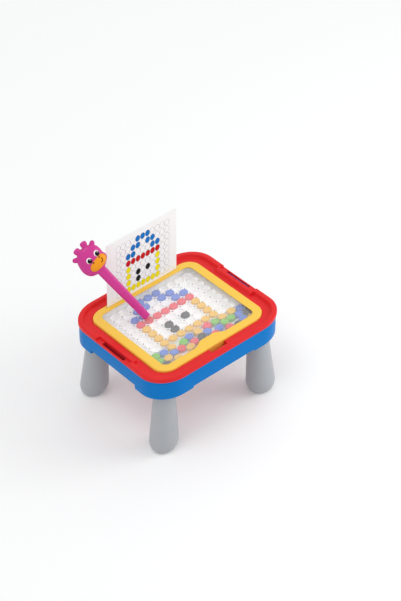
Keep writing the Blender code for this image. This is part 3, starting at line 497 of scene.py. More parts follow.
def add_piece(name, mesh, finish, body, replaces=(), slot=None, sharp=SHARP_ANGLE):
    """A finished piece: smooth but for its sharp edges, riding on its body."""
    mesh.materials.clear()
    mesh.materials.append(bpy.data.materials[finish])
    mesh.shade_smooth()
    mesh.set_sharp_from_angle(angle=sharp)
    piece = placed(name, mesh)
    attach(piece, body)
    if replaces:
        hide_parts(*replaces)
    return piece


def add_node(tree, kind, values=None, links=None):
    """A shader node. Values go to its properties or input sockets, links come from output sockets."""
    node = tree.nodes.new(kind)
    for key, value in (values or {}).items():
        if isinstance(key, str) and key not in node.inputs:
            setattr(node, key, value)
        else:
            node.inputs[key].default_value = value
    for key, socket in (links or {}).items():
        tree.links.new(socket, node.inputs[key])
    return node


def new_material(name, values):
    """A material's node tree and its shader, with plain values for the shader's inputs."""
    material = bpy.data.materials.new(name)
    material.use_nodes = True
    shader = material.node_tree.nodes["Principled BSDF"]
    for key, value in values.items():
        shader.inputs[key].default_value = value
    return material.node_tree, shader


def noise(tree, size, detail):
    """Noise in the piece's own space, with spots of a size in millimetres."""
    place = add_node(tree, "ShaderNodeTexCoord").outputs["Object"]
    return add_node(tree, "ShaderNodeTexNoise", {"Scale": 1 / (size * MM), "Detail": detail},
                    {"Vector": place}).outputs["Fac"]


def ranged(tree, value, low, high):
    """A value between 0 and 1 stretched to run from low to high."""
    return add_node(tree, "ShaderNodeMapRange", {"To Min": low, "To Max": high},
                    {"Value": value}).outputs["Result"]


def vary(tree, shader, clouds, colours, roughness):
    """Let clouds shift the colour and the roughness, each between two values."""
    tint = add_node(tree, "ShaderNodeMix", {"data_type": "RGBA", 6: colours[0], 7: colours[1]}, {0: clouds})
    tree.links.new(tint.outputs[2], shader.inputs["Base Color"])
    tree.links.new(ranged(tree, clouds, *roughness), shader.inputs["Roughness"])


def opaque(*texts):
    return [(*srgb(text), 1) for text in texts]


def shades(value, spread):
    """A darker and a lighter shade of a colour, as far apart as the spread says."""
    base = np.array(value[:3])
    return (*(base * (1 - spread)), 1), (*np.clip(base * (1 + spread), 0, 1), 1)


PLASTIC_IOR, CLEAR_SHEET_IOR = 1.5, 1.57
GLOSS_SPREAD = 0.15          # clouds shift the roughness by this share
CLOUD_DETAIL, GRAIN_DETAIL, GRAIN_STRENGTH = 3, 2, 0.5


def moulded(name, value, roughness, spread=0.035, cloud=26, grain=0.55, relief=0.012, gloss_level=0.14):
    """Injection-moulded plastic.

    Broad clouds shift its colour and gloss by a hair, as pigment does in a moulding. A fine grain
    from the mould breaks the highlights. Cloud, grain and relief are in millimetres; the grain is
    drawn coarser than the real 0.1 mm, so that it shows from a step away. The gloss level is under
    the usual half, because a toy's pigmented skin is duller than clean clear plastic.
    """
    tree, shader = new_material(name, {"IOR": PLASTIC_IOR, "Specular IOR Level": gloss_level})
    vary(tree, shader, noise(tree, cloud, CLOUD_DETAIL), shades(value, spread),
         (roughness * (1 - GLOSS_SPREAD), roughness * (1 + GLOSS_SPREAD)))
    bump = add_node(tree, "ShaderNodeBump", {"Strength": GRAIN_STRENGTH, "Distance": relief * MM},
                    {"Height": noise(tree, grain, GRAIN_DETAIL)})
    tree.links.new(bump.outputs["Normal"], shader.inputs["Normal"])


def make_materials():
    """Every finish, named for what it is and how its surface was made."""
    c = settings("colours")
    # Glossy ABS, mould polished: even strong colour and a clear highlight along the rim
    moulded("abs_red_polished", c.red, 0.24)
    # Polypropylene, satin: softer highlight than the top's
    moulded("polypropylene_blue_satin", c.blue, 0.34, gloss_level=0.06)
    moulded("abs_yellow_polished", c.yellow, 0.26, spread=0.03)
    # Polypropylene of the hollow legs, satin, with a wide soft sheen
    moulded("polypropylene_grey_satin", c.grey, 0.34, spread=0.03, cloud=40, gloss_level=0.4)
    # High impact polystyrene, matt white
    moulded("polystyrene_white_matt", c.white, 0.42, spread=0.012)
    # Wipe-clean drawing sheet: hard coated and smooth
    moulded("drawing_sheet_coated", c.white, 0.16, spread=0.008, grain=1.2, relief=0.004)
    moulded("abs_magenta_polished", c.magenta, 0.28, spread=0.03, gloss_level=0.3)
    moulded("abs_orange_satin", c.orange, 0.34, spread=0.05)
    for name in ("blue", "red", "yellow", "green", "black"):
        # Magnet tablets moulded over a core: satin, slightly uneven in colour
        moulded(f"tablet_{name}_satin", getattr(c, "tablet_" + name), 0.33, spread=0.06, cloud=6, grain=0.4)
        if name != "green":
            # Offset ink on the card: flat, with a trace of the screen it was printed through
            moulded(f"ink_{name}_printed", getattr(c, "print_" + name), 0.5, spread=0.04, cloud=1.6,
                    relief=0.004)
    moulded("ink_grey_printed", c.print_grey, 0.5, spread=0.12, cloud=1.2, relief=0.004)
    moulded("card_white_coated", srgb("#F6F9FA"), 0.38, spread=0.01, cloud=3, grain=0.35, relief=0.006)
    # Pad-printed paint of the pen's eyes
    moulded("paint_white_printed", srgb("#FBFBFB"), 0.3, spread=0.01)
    moulded("paint_black_printed", srgb("#141012"), 0.22, spread=0.05)
    moulded("paint_brown_printed", srgb("#4A2208"), 0.3, spread=0.05)
    # Moulding pins of the socket platform, coloured near-black as painted shade where four sockets meet
    moulded("polystyrene_pins_shaded", srgb("#2E2D38"), 0.5, spread=0.05, cloud=4)
    moulded("ferrite_magnet_painted", srgb("#6E2436"), 0.45, spread=0.12, cloud=2)
    make_steel()
    make_clear_sheet()


def make_steel():
    """Zinc-plated screw steel: metal, with fine turning marks in the roughness."""
    tree, shader = new_material("steel_zinc_plated", {"Metallic": 1})
    vary(tree, shader, noise(tree, 0.5, 4), opaque("#A9AAAC", "#CFCFD2"), (0.22, 0.4))


def make_clear_sheet():
    """Clear polystyrene window: a faint milky veil over what lies below, and a glossy face.

    The veil varies in slow clouds, as a moulded sheet does.
    """
    tree, shader = new_material("polystyrene_clear_sheet", {"IOR": CLEAR_SHEET_IOR})
    clouds = noise(tree, 45, 2)
    vary(tree, shader, clouds, opaque("#F4F6FA", "#FFFFFF"), (0.04, 0.1))
    tree.links.new(ranged(tree, clouds, 0.125, 0.155), shader.inputs["Alpha"])


def corner_at(half):
    """Corner radius of a line parallel to the table's edge at a given half width."""
    return settings("tray").corner - (TABLE_HALF - half)


def square_path(half, stops=None):
    """Path parallel to the table's edge at a given half width."""
    return Path((-half, -half), (half, half), corner_at(half), stops)


def four_ways(x, y):
    return [(x, y), (-x, y), (-x, -y), (x, -y)]


def between(plain, feature, share):
    """Plain value where the share is 0, the feature's value where it is 1."""
    return plain + (feature - plain) * share


PILOT_SHARE = 0.4            # of a boss's radius, for its screw's hole
PILOT_WALL, PILOT_TIP = 13 * MM, 14 * MM   # how deep the hole is at its wall and at its tip
BOSS_STEPS = 24
TIGHT_ARC_STEPS = 4          # of a small upright corner
FLOOR_REACH = 5              # walls, from the well's edge in to its floor's cap
# Places on the plain rim, as shares of its width, of the corners that a hand slot moves
IDLE_INNER, IDLE_OUTER = 0.75, 0.6


class DRAWINGBOARD_OT_tray(bpy.types.Operator):
    """Red table top: rim, ledge, board well, hand slots, finger pocket and screw bosses"""
    bl_idname = "drawing_board.tray"
    bl_label = "Table top"

    def execute(self, context):
        t = settings("tray")
        lip_half, bar_half, pocket_half = t.lip_length / 2, t.bar_length / 2, t.pocket_length / 2
        edge_stops = steps_at(lip_half, bar_half)
        path = square_path(TABLE_HALF, {0: edge_stops, 2: edge_stops, 3: steps_at(pocket_half)})
        lip = path.stretch((0, 2), lip_half)
        bar = path.stretch((0, 2), bar_half)
        pocket = path.stretch((3,), pocket_half)
        ledge = RIM_Z - t.rim_rise
        under = ledge - t.wall
        well = TABLE_HALF - BOARD_HALF - t.well_gap
        well_floor = BOARD_LOW_Z - SEAM
        well_under = well_floor - t.wall
        deep = well + FLOOR_REACH * t.wall
        outer = well - t.wall
        slot_in = t.lip_wall + t.slot_width
        bar_top = slot_in + t.bar_width
        lip_z = RIM_Z - t.lip_drop
        pocket_z = ledge - t.pocket_depth
        pocket_in = well - t.pocket_width
        tongue_in = t.tongue_inset + t.tongue_wall
        tongue_z = SEAM_Z - t.tongue_depth
        # A feature's corners lie on the plain section wherever the feature is not
        pocket_floor, pocket_under = between(ledge, pocket_z, pocket), pocket_z - t.wall
        pocket_wall = between(outer, pocket_in - t.wall, pocket)
        rim_top = between(RIM_Z, lip_z, lip)
        corners = [
            (deep, well_floor), (well, well_floor, SOFT), (well, pocket_floor, MILD),
            (between(outer, pocket_in, pocket), pocket_floor, EASY * pocket),
            (between(outer - t.wall / 2, pocket_in, pocket), ledge, MILD * pocket),
            (between(t.rim_width + t.rim_slope, bar_top + t.bar_slope, bar), ledge, SOFT),
            (between(t.rim_width, bar_top, bar), RIM_Z, FULL),
            (between(t.rim_width * IDLE_INNER, slot_in, lip), RIM_Z, FINE * lip),
            (between(t.rim_width * IDLE_OUTER, slot_in, lip), rim_top),
            (0, rim_top, between(t.rim_round * ROUND_REACH, SOFT, lip)), (0, SEAM_Z, FINE),
            (t.tongue_inset, SEAM_Z), (t.tongue_inset, tongue_z), (tongue_in, tongue_z),
            (tongue_in, under), (pocket_wall, under),
            (pocket_wall, between(under - t.wall, pocket_under, pocket)),
            (outer, between(under - 2 * t.wall, pocket_under, pocket)),
            (outer, well_under, SOFT), (deep, well_under)]
        slot_half = t.slot_length / 2
        slot_z = ledge - t.slot_depth
        hole_out, hole_in = TABLE_HALF - t.lip_wall, TABLE_HALF - slot_in
        block_out, block_in = SKIRT_HALF - t.skirt_wall - SEAM, hole_in - t.wall
        inside_ledge = ledge - t.wall / 2
        cuts, blocks = [], []
        for side in (1, -1):
            near, far = sorted((side * block_in, side * block_out))
            blocks.append(prism((near, -slot_half - t.wall), (far, slot_half + t.wall), SOFT, slot_z,
                                inside_ledge, arc_steps=TIGHT_ARC_STEPS))
            near, far = sorted((side * hole_in, side * hole_out))
            cuts.append(prism((near, -slot_half), (far, slot_half), EASY, slot_z - t.slot_depth,
                              RIM_Z + t.rim_rise, arc_steps=TIGHT_ARC_STEPS))
        foot = POD_Z + t.skirt_wall + SEAM
        hole = t.boss_radius * PILOT_SHARE
        boss = turned([(0, foot + PILOT_TIP), (hole, foot + PILOT_WALL), (hole, foot), (t.boss_radius, foot),
                       (t.boss_radius, inside_ledge), (0, inside_ledge)], BOSS_STEPS)
        for x, y in four_ways(TABLE_HALF - t.boss_inset, t.boss_side):
            blocks.append(moved(boss, Matrix.Translation((x, y, 0))))
        mesh = to_mesh("tray_top", [surface(path.carry(corners, False), caps=True)])
        steps = [("UNION", to_mesh("blocks", blocks)), ("DIFFERENCE", to_mesh("cuts", cuts))]
        add_piece("table_top_red", combine(mesh, steps), "abs_red_polished", "root", ["tray_top"],
                  "red_plastic")
        return {"FINISHED"}


SCREW_HEAD, SCREW_SHANK, SCREW_RECESS = 2 * MM, 1.1 * MM, 0.8 * MM  # height, radius and depth
SCREW_CURVE = ((1, 1), (1, 0.5), (0.93, 0.25), (0.78, 0))  # shares of the head's radius and height
RECESS_TOP, RECESS_FLOOR = 0.46, 0.42  # shares of the head's radius
STAR_CORE = 0.35             # least radius of the recess's star, as a share of the largest
SCREW_STEPS = 48


class DRAWINGBOARD_OT_skirt(bpy.types.Operator):
    """Blue skirt with deeper corner pods, and the screws that hold the table top"""
    bl_idname = "drawing_board.skirt"
    bl_label = "Skirt"

    def execute(self, context):
        t = settings("tray")
        stops = steps_at(t.pod_edge, t.pod_edge - t.pod_step / 4, t.pod_edge + t.pod_step / 4,
                         ramp=t.pod_step)
        path = square_path(SKIRT_HALF, {side: stops for side in range(4)})
        sides = path.stretch((0, 2), t.pod_edge, t.pod_step)
        fronts = path.stretch((1, 3), t.pod_edge, t.pod_step)
        sides, fronts = (share * share * (3 - 2 * share) for share in (sides, fronts))
        side_rise, front_rise = SEAM_Z - t.skirt_side_depth - POD_Z, SEAM_Z - t.skirt_front_depth - POD_Z
        low = POD_Z + side_rise * sides + front_rise * fronts
        high = SEAM_Z - SEAM
        edge = between(t.pod_round * ROUND_REACH, SOFT, np.maximum(sides, fronts))
        section = [(0, high, NEAT), (0, low, edge), (t.skirt_wall, low, FINE), (t.skirt_wall, high)]
        ring = to_mesh("ring", [surface(path.carry(section, True), wrap=True)])
        inner = SKIRT_HALF - t.skirt_wall / 2
        core = to_mesh("core", [prism((-inner, -inner), (inner, inner), corner_at(inner), POD_Z - t.wall,
                                      SEAM_Z + t.wall)])
        inside = combine(merged_copy("tray_base"), [("INTERSECT", core)])
        add_piece("skirt_blue", combine(ring, [("UNION", inside)]), "polypropylene_blue_satin", "root",
                  ["tray_base"], "blue_plastic")
        for name in nodes_named("tray_screw"):
            self.make_screw(name)
        return {"FINISHED"}

    def make_screw(self, name):
        """A pan-head screw, upside down, its recess a four-pointed star: radius times a power of cos 2a."""
        low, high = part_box(name)
        wide = (high.x - low.x) / 2
        head = [(wide * across, low.z + SCREW_HEAD * up) for across, up in SCREW_CURVE]
        recess_z = low.z + SCREW_RECESS
        recess = [(wide * RECESS_TOP, low.z), (wide * RECESS_FLOOR, recess_z), (0, recess_z)]
        rows = np.array([(0, high.z), (SCREW_SHANK, high.z - SCREW_SHANK), (SCREW_SHANK, low.z + SCREW_HEAD),
                         *head, *recess])
        turns = full_turn(SCREW_STEPS)
        star = STAR_CORE + (1 - STAR_CORE) * np.abs(np.cos(2 * turns)) ** 3
        in_recess = np.arange(len(rows))[:, None] >= len(rows) - len(recess)
        radius = rows[:, :1] * np.where(in_recess, star, 1)
        grid = np.stack([radius * np.cos(turns), radius * np.sin(turns),
                         np.broadcast_to(rows[:, 1:], radius.shape)], axis=-1)
        middle = (low + high) / 2
        shape = moved(surface(grid), Matrix.Translation((middle.x, middle.y, 0)))
        add_piece(name.replace("tray_", "pan_head_"), to_mesh(name, [shape]), "steel_zinc_plated", "root",
                  [name], "steel")


LEG_STEPS, TAPER_STEPS, FOOT_STEPS = 72, 12, 14


class DRAWINGBOARD_OT_legs(bpy.types.Operator):
    """Four hollow grey legs with push-in plugs"""
    bl_idname = "drawing_board.legs"
    bl_label = "Legs"

    def execute(self, context):
        g = settings("leg")
        for name in nodes_named("leg_"):
            joint = JOINTS["leg_pull_" + name[4:]]
            top, axis = np.array(joint["pos_m"]), np.array(joint["axis"])
            lean = axis[:2] / abs(axis[2])

            def centre(height):
                return top[:2] + (top[2] - height)[:, None] * lean

            shoulder = top[2] - SEAM
            plug_z = shoulder + SEAM + g.plug_length
            foot = arc((g.wide_radius, g.wide_height), (g.foot_radius, g.wide_height), (g.foot_radius, 0),
                       FOOT_STEPS)
            heights = np.linspace(shoulder, g.wide_height, TAPER_STEPS)
            taper = np.interp(heights, (g.wide_height, shoulder), (g.wide_radius, g.top_radius))
            outside = np.stack([taper, heights], axis=1)
            inner = g.plug_radius - g.wall
            profile = [(0, g.wall), (g.foot_radius - g.wall, g.wall),
                       (g.wide_radius - g.wall, g.wide_height), (inner, shoulder), (inner, plug_z),
                       (g.plug_radius - SOFT, plug_z), (g.plug_radius, plug_z - SOFT),
                       (g.plug_radius, shoulder),
                       (g.top_radius - FINE, shoulder), (g.top_radius, shoulder - FINE)]
            profile = np.concatenate([profile, outside[1:], foot[1:], [(0, 0)]])
            mesh = to_mesh(name, [turned(profile, LEG_STEPS, centre)])
            add_piece(name + "_grey", mesh, "polypropylene_grey_satin", name, [name], "grey_plastic")
        return {"FINISHED"}


TAB_MARGIN, TAB_STOPS = 4 * MM, 49      # beyond the tab's base on either side, and points along both
TAB_BLUR, TAB_BLUR_STEPS = 3 * MM, 13   # half width of the mean that softens the tab's corners


class DRAWINGBOARD_OT_board(bpy.types.Operator):
    """Yellow front and rear frames, clear window and drawing panel"""
    bl_idname = "drawing_board.board"
    bl_label = "Board"

    def execute(self, context):
        b = settings("board")
        tab_stops = np.linspace(-b.tab_base / 2 - TAB_MARGIN, b.tab_base / 2 + TAB_MARGIN, TAB_STOPS)
        path = square_path(BOARD_HALF, {1: steps_at(b.slot_half), 3: tab_stops})
        slot = path.stretch((1,), b.slot_half)
        middle = BOARD_HALF - CARD_Y
        near, far = middle - b.slot_width / 2, middle + b.slot_width / 2
        groove = between(BOARD_Z, BOARD_Z - b.slot_depth, slot)
        lip = BOARD_Z - b.lip
        step = lip + b.rebate
        bar = between(lip, BOARD_Z - b.slot_depth - b.wall, slot)
        bar_in = middle + b.bar_width / 2
        window = b.bezel + self.tab(path, b)
        corners = [
            (0, SPLIT_Z), (0, BOARD_Z, b.outer_round * ROUND_REACH), (near, BOARD_Z, CRISP * slot),
            (near, groove), (far, groove), (far, BOARD_Z, CRISP * slot), (window, BOARD_Z, b.inner_round),
            (window, step, KEEN), (window - b.rebate, step), (window - b.rebate, lip), (bar_in, lip),
            (bar_in, bar, CRISP), (b.wall, bar), (b.wall, SPLIT_Z)]
        mesh = to_mesh("frame", [surface(path.carry(corners, True), wrap=True)])
        add_piece("front_frame_yellow", mesh, "abs_yellow_polished", "board", ["board_frame"],
                  "yellow_plastic")
        rear_top = SPLIT_Z - SEAM
        ledge = BOARD_LOW_Z + b.back_lip
        corners = [(0, rear_top), (b.wall, rear_top), (b.wall, ledge), (b.bezel, ledge),
                   (b.bezel, BOARD_LOW_Z, EASY), (0, BOARD_LOW_Z, b.outer_round * ROUND_REACH)]
        mesh = to_mesh("rear", [surface(square_path(BOARD_HALF).carry(corners, True), wrap=True)])
        add_piece("rear_frame_yellow", mesh, "abs_yellow_polished", "board", ["board_back_frame"],
                  "yellow_plastic")
        corner = corner_at(INNER_HALF)
        window = prism(*WINDOW_BOX, corner, WINDOW_LOW_Z, WINDOW_Z, CRISP)
        sheet = add_piece("window_clear", to_mesh("window", [window]), "polystyrene_clear_sheet", "board",
                          ["board_window"], "clear_plastic")
        # What the milky sheet scatters still reaches the tray, so it casts no shadow
        sheet.visible_shadow = False
        panel = prism((-INNER_HALF, -INNER_HALF), (INNER_HALF, INNER_HALF), corner, PANEL_LOW_Z, PANEL_Z,
                      CRISP)
        add_piece("drawing_panel_white", to_mesh("panel", [panel]), "drawing_sheet_coated", "board",
                  ["drawing_panel"], "white_plastic")
        return {"FINISHED"}

    def tab(self, path, b):
        """How far the front of the bezel reaches in: a trapezoid, softened by a running mean."""
        place = np.abs(path.along[:, None] + np.linspace(-TAB_BLUR, TAB_BLUR, TAB_BLUR_STEPS))
        run = (b.tab_base - b.tab_tip) / 2
        reach = np.clip((b.tab_base / 2 - place) / run, 0, 1).mean(axis=1)
        return b.tab_reach * reach * (path.side == 3)


COLUMNS, ROWS = 11, 8
SOCKET_STEPS = 48


def column_x(column):
    return (np.asarray(column) - (COLUMNS - 1) / 2) * settings("tablet").pitch


def row_y(row):
    s = settings("tablet")
    return INNER_BACK - s.last_row - (ROWS - 1 - np.asarray(row)) * s.pitch


def lattice(columns, rows):
    """Column and row of every cell."""
    return (grid.ravel() for grid in np.meshgrid(np.arange(columns), np.arange(rows), indexing="ij"))


# Loose tablets as they lie, in millimetres, before they are pushed apart, and their number by colour
LOOSE_PLACES = [
    (-78, -45), (-77, -60), (-28, -54), (42, -48), (61, -52), (51, -59), (-63, -51), (-47, -61),
    (-12, -49), (17, -55), (36, -64), (69, -60), (84, -52), (75, -72), (-47, -48), (-63, -64),
    (-25, -68), (3, -46), (51, -49), (75, -45), (79, -73), (-53, -75), (-39, -61), (-8, -62),
    (28, -47), (25, -67), (54, -68), (5, -67), (6, -61), (64, -73), (83, -65), (-75, -73),
]
LOOSE_COUNTS = {"green": 6, "blue": 8, "yellow": 8, "red": 6, "black": 4}
SETTLE_STEPS = 3000
SETTLE_SHARE = 0.4           # of each push, taken per step


def settled_places():
    """Loose tablets pushed apart until none overlaps another, the sockets' edge or a wall."""
    s, b = settings("tablet"), settings("board")
    spots = np.array(LOOSE_PLACES) * MM
    border = np.stack([column_x(np.arange(COLUMNS)), np.full(COLUMNS, row_y(0))], axis=1)
    corner = corner_at(INNER_HALF) - b.dish_wall
    core = INNER_HALF - b.dish_wall - corner
    room = corner - s.radius - s.loose_gap
    limits = ((None, 2 * s.radius + s.loose_gap), (border, s.scallop_radius + s.radius + s.loose_gap))
    for _ in range(SETTLE_STEPS):
        push = np.zeros_like(spots)
        for others, apart in limits:
            away = spots[:, None] - (spots if others is None else others)[None]
            lengths = np.linalg.norm(away, axis=2)
            lengths[lengths == 0] = 1
            shares = np.clip(apart - lengths, 0, None) / lengths
            push += (shares[..., None] * away).sum(axis=1)
        past = spots - np.clip(spots, -core, core)
        lengths = np.maximum(np.linalg.norm(past, axis=1), room)
        push -= (1 - room / lengths)[:, None] * past
        spots = spots + SETTLE_SHARE * push
    return spots


TABLET_STEPS = 40
DIMPLE_SHARE, DIMPLE_EDGE = 0.82, 0.92  # of the flat face: its sunk middle, and where it is level again


def tablet_shape():
    """A tablet about the origin: a turned disc with rounded edges and faces sunk inside a narrow rim."""
    s = settings("tablet")
    half = s.thickness / 2
    rim = s.radius - s.rounding
    dip = half - s.dimple
    upper = [(0, dip), (rim * DIMPLE_SHARE, dip), (rim * DIMPLE_EDGE, half), (s.radius, half)]
    radii = [0, FINE, MILD, s.rounding * ROUND_REACH]
    lower = [(r, -z) for r, z in reversed(upper)]
    return turned(soft_profile(upper + lower, radii + radii[::-1]), TABLET_STEPS)


# A socket's wall: its foot, its top and the end of its rounded lip, beside the socket's radius
SOCKET_FOOT, SOCKET_TOP, SOCKET_LIP = -0.5 * MM, -0.1 * MM, 0.45 * MM
PLATFORM_SUNK = 0.4 * MM     # into the tray's floor
PIN_RADIUS, PIN_HEIGHT, PIN_SUNK = 1.2 * MM, 0.8 * MM, 0.1 * MM
PIN_RINGS, PIN_STEPS = 4, 10
NO_BORDER = 10.0             # metres, further than any cell reaches
LOOSE_SEED = 7
LEAST_TILT = 0.25            # of a loose tablet, as a share of the largest


class DRAWINGBOARD_OT_tablets(bpy.types.Operator):
    """White tray of sockets, the tablets that show a picture, and the loose ones in front"""
    bl_idname = "drawing_board.tablets"
    bl_label = "Tablet tray and tablets"

    def execute(self, context):
        b = settings("board")
        floor = DISH_LOW_Z + b.dish_floor
        corner = corner_at(INNER_HALF)
        path = Path(*WINDOW_BOX, corner)
        deep = corner * CAP_SHARE
        corners = [(deep, floor), (b.dish_wall, floor, FULL), (b.dish_wall, DISH_Z), (0, DISH_Z, CRISP),
                   (0, DISH_LOW_Z, MILD), (deep, DISH_LOW_Z)]
        dish = to_mesh("dish", [surface(path.carry(corners, False), caps=True)])
        add_piece("tablet_tray_white", dish, "polystyrene_white_matt", "board", ["bead_tray"],
                  "white_plastic")
        platform = self.make_platform(floor, floor + b.platform)
        add_piece("socket_platform_white", platform, "polystyrene_white_matt", "board", slot="white_plastic")
        self.make_pins(floor + b.platform)
        for name in BEAD_NODES:
            low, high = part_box(name)
            kind = name.split("_")[1]
            shape = moved(tablet_shape(), Matrix.Translation((low + high) / 2))
            add_piece(name.replace("bead_", "tablet_"), to_mesh(name, [shape]), f"tablet_{kind}_satin",
                      "board", [name], f"bead_{kind}")
        self.make_loose(floor)
        return {"FINISHED"}

    def make_platform(self, floor, top):
        """All sockets at once, each a set of rings about its centre.

        A ring's radius runs from the socket's floor up its wall and over its rounded lip to the cell's
        border. The border is a square's, pitch / 2 / max(|cos a|, |sin a|), but where no neighbour lies
        that way it is the smaller of that side's circle and the border with the neighbours that exist.
        The outermost line goes down into the tray, and a flat fan closes each cell below.
        """
        s = settings("tablet")
        columns, rows = lattice(COLUMNS, ROWS)
        turns = np.unique(np.concatenate([full_turn(SOCKET_STEPS, 0.5), full_turn(4, 0.5)]))
        cos, sin = np.cos(turns), np.sin(turns)
        missing = [(columns == COLUMNS - 1, cos > 0), (columns == 0, cos < 0), (rows == ROWS - 1, sin > 0),
                   (rows == 0, sin < 0)]
        open_x = sum(np.outer(cell, way) for cell, way in missing[:2]) > 0
        open_y = sum(np.outer(cell, way) for cell, way in missing[2:]) > 0
        border_x, border_y = (
            np.where(opened, NO_BORDER, s.pitch / 2 / np.maximum(np.abs(way), ALMOST_ZERO))
            for opened, way in ((open_x, cos), (open_y, sin)))
        border = np.minimum(border_x, border_y)
        border = np.where(open_x | open_y, np.minimum(border, s.scallop_radius), border)
        bottom = top - s.socket_depth
        profile = soft_profile([(0, bottom), (s.socket_radius + SOCKET_FOOT, bottom),
                                (s.socket_radius + SOCKET_TOP, top), (s.socket_radius + SOCKET_LIP, top)],
                               [0, MILD, FINE, 0])
        radius = np.broadcast_to(profile[:, 0, None, None], (len(profile),) + border.shape)
        radius = np.concatenate([np.minimum(radius, border), [border, border, np.zeros_like(border)]])
        sunk = floor - PLATFORM_SUNK
        height = np.concatenate([profile[:, 1], [top, sunk, sunk]])
        x = column_x(columns)[None, :, None] + radius * cos
        y = row_y(rows)[None, :, None] + radius * sin
        z = np.broadcast_to(height[:, None, None], x.shape)
        grids = np.stack([x, y, z], axis=-1)
        shapes = []
        shared = (~open_x & (border > border_x - TINY)) | (~open_y & (border > border_y - TINY))
        for cell in range(len(columns)):
            points, faces = surface(grids[:, cell])
            faces = np.array(faces).reshape(len(height) - 1, len(turns), 4)
            inner = shared[cell] & np.roll(shared[cell], -1)
            wall = faces[-2][~inner]
            kept = np.concatenate([faces[:-2].reshape(-1, 4), wall, faces[-1]])
            shapes.append((points, kept.tolist()))
        return to_mesh("platform", shapes, WELD)

    def make_pins(self, top):
        """Small domes where four sockets meet, coloured near-black as painted shade: a sphere's cap, radius
        times sin, height times cos.
        """
        columns, rows = lattice(COLUMNS - 1, ROWS - 1)
        rise = np.linspace(0, math.pi / 2, PIN_RINGS)
        height = top - PIN_SUNK + PIN_HEIGHT * np.cos(rise)
        cap = np.stack([np.append(PIN_RADIUS * np.sin(rise), 0), np.append(height, height[-1])], axis=1)
        points, faces = turned(cap, PIN_STEPS)
        shapes = [(points + np.array([x, y, 0]), faces)
                  for x, y in zip(column_x(columns + 0.5), row_y(rows + 0.5))]
        # The pins' near-black colour is painted shade between the sockets, not the white of the moulding
        add_piece("socket_pins", to_mesh("pins", shapes), "polystyrene_pins_shaded", "board",
                  slot="white_plastic")

    def make_loose(self, floor):
        """Loose tablets grouped by colour, each tilted a little and set down on its lowest point."""
        s = settings("tablet")
        spots = settled_places()
        draw = np.random.default_rng(LOOSE_SEED)
        tilts = s.loose_tilt * draw.uniform(LEAST_TILT, 1, len(spots))
        headings = draw.uniform(0, 2 * math.pi, len(spots))
        first = 0
        for kind, count in LOOSE_COUNTS.items():
            shapes = []
            for index in range(first, first + count):
                turn = Matrix.Rotation(headings[index], 4, "Z") @ Matrix.Rotation(tilts[index], 4, "Y")
                points, faces = moved(tablet_shape(), turn)
                lift = floor - points[:, 2].min()
                shapes.append((points + np.array([*spots[index], lift]), faces))
            first += count
            slot = "bead_yellow" if kind == "green" else f"bead_{kind}"
            add_piece(f"loose_tablets_{kind}", to_mesh(kind, shapes), f"tablet_{kind}_satin", "board",
                      slot=slot)


# Printed picture: cells of the card's lattice, column and row, counted from the lower left
CARD_PICTURE = {
    "yellow": [(c, 0) for c in range(2, 9)] + [(c, r) for c in (2, 8) for r in (1, 2, 3)],
    "red": [(c, 4) for c in range(2, 9)],
    "blue": [(2, 5), (3, 5), (7, 5), (8, 5), (3, 6), (4, 6), (6, 6), (7, 6), (4, 7), (5, 7), (6, 7)],
    "black": [(4, 1), (4, 2), (6, 2)],
}
PRINT_PITCH_X, PRINT_PITCH_Z = 9.5 * MM, 13.4 * MM
PRINT_ASIDE, PRINT_UP = 2 * MM, 18.6 * MM   # lattice beside the card's middle, lowest row above its edge
PRINT_WIDE, PRINT_TALL = PRINT_PITCH_X * 0.49, PRINT_PITCH_Z * 0.47  # half sizes of an outline
PRINT_FILL = 0.94            # a filled cell's size as a share of its outline's
PRINT_LINE = 0.42 * MM
PRINT_STEPS = 28
PRINT_RAISE = 0.04 * MM
PRINT_SUNK = 0.1 * MM
CARD_CORNER, CARD_EDGE = 3 * MM, 0.15 * MM


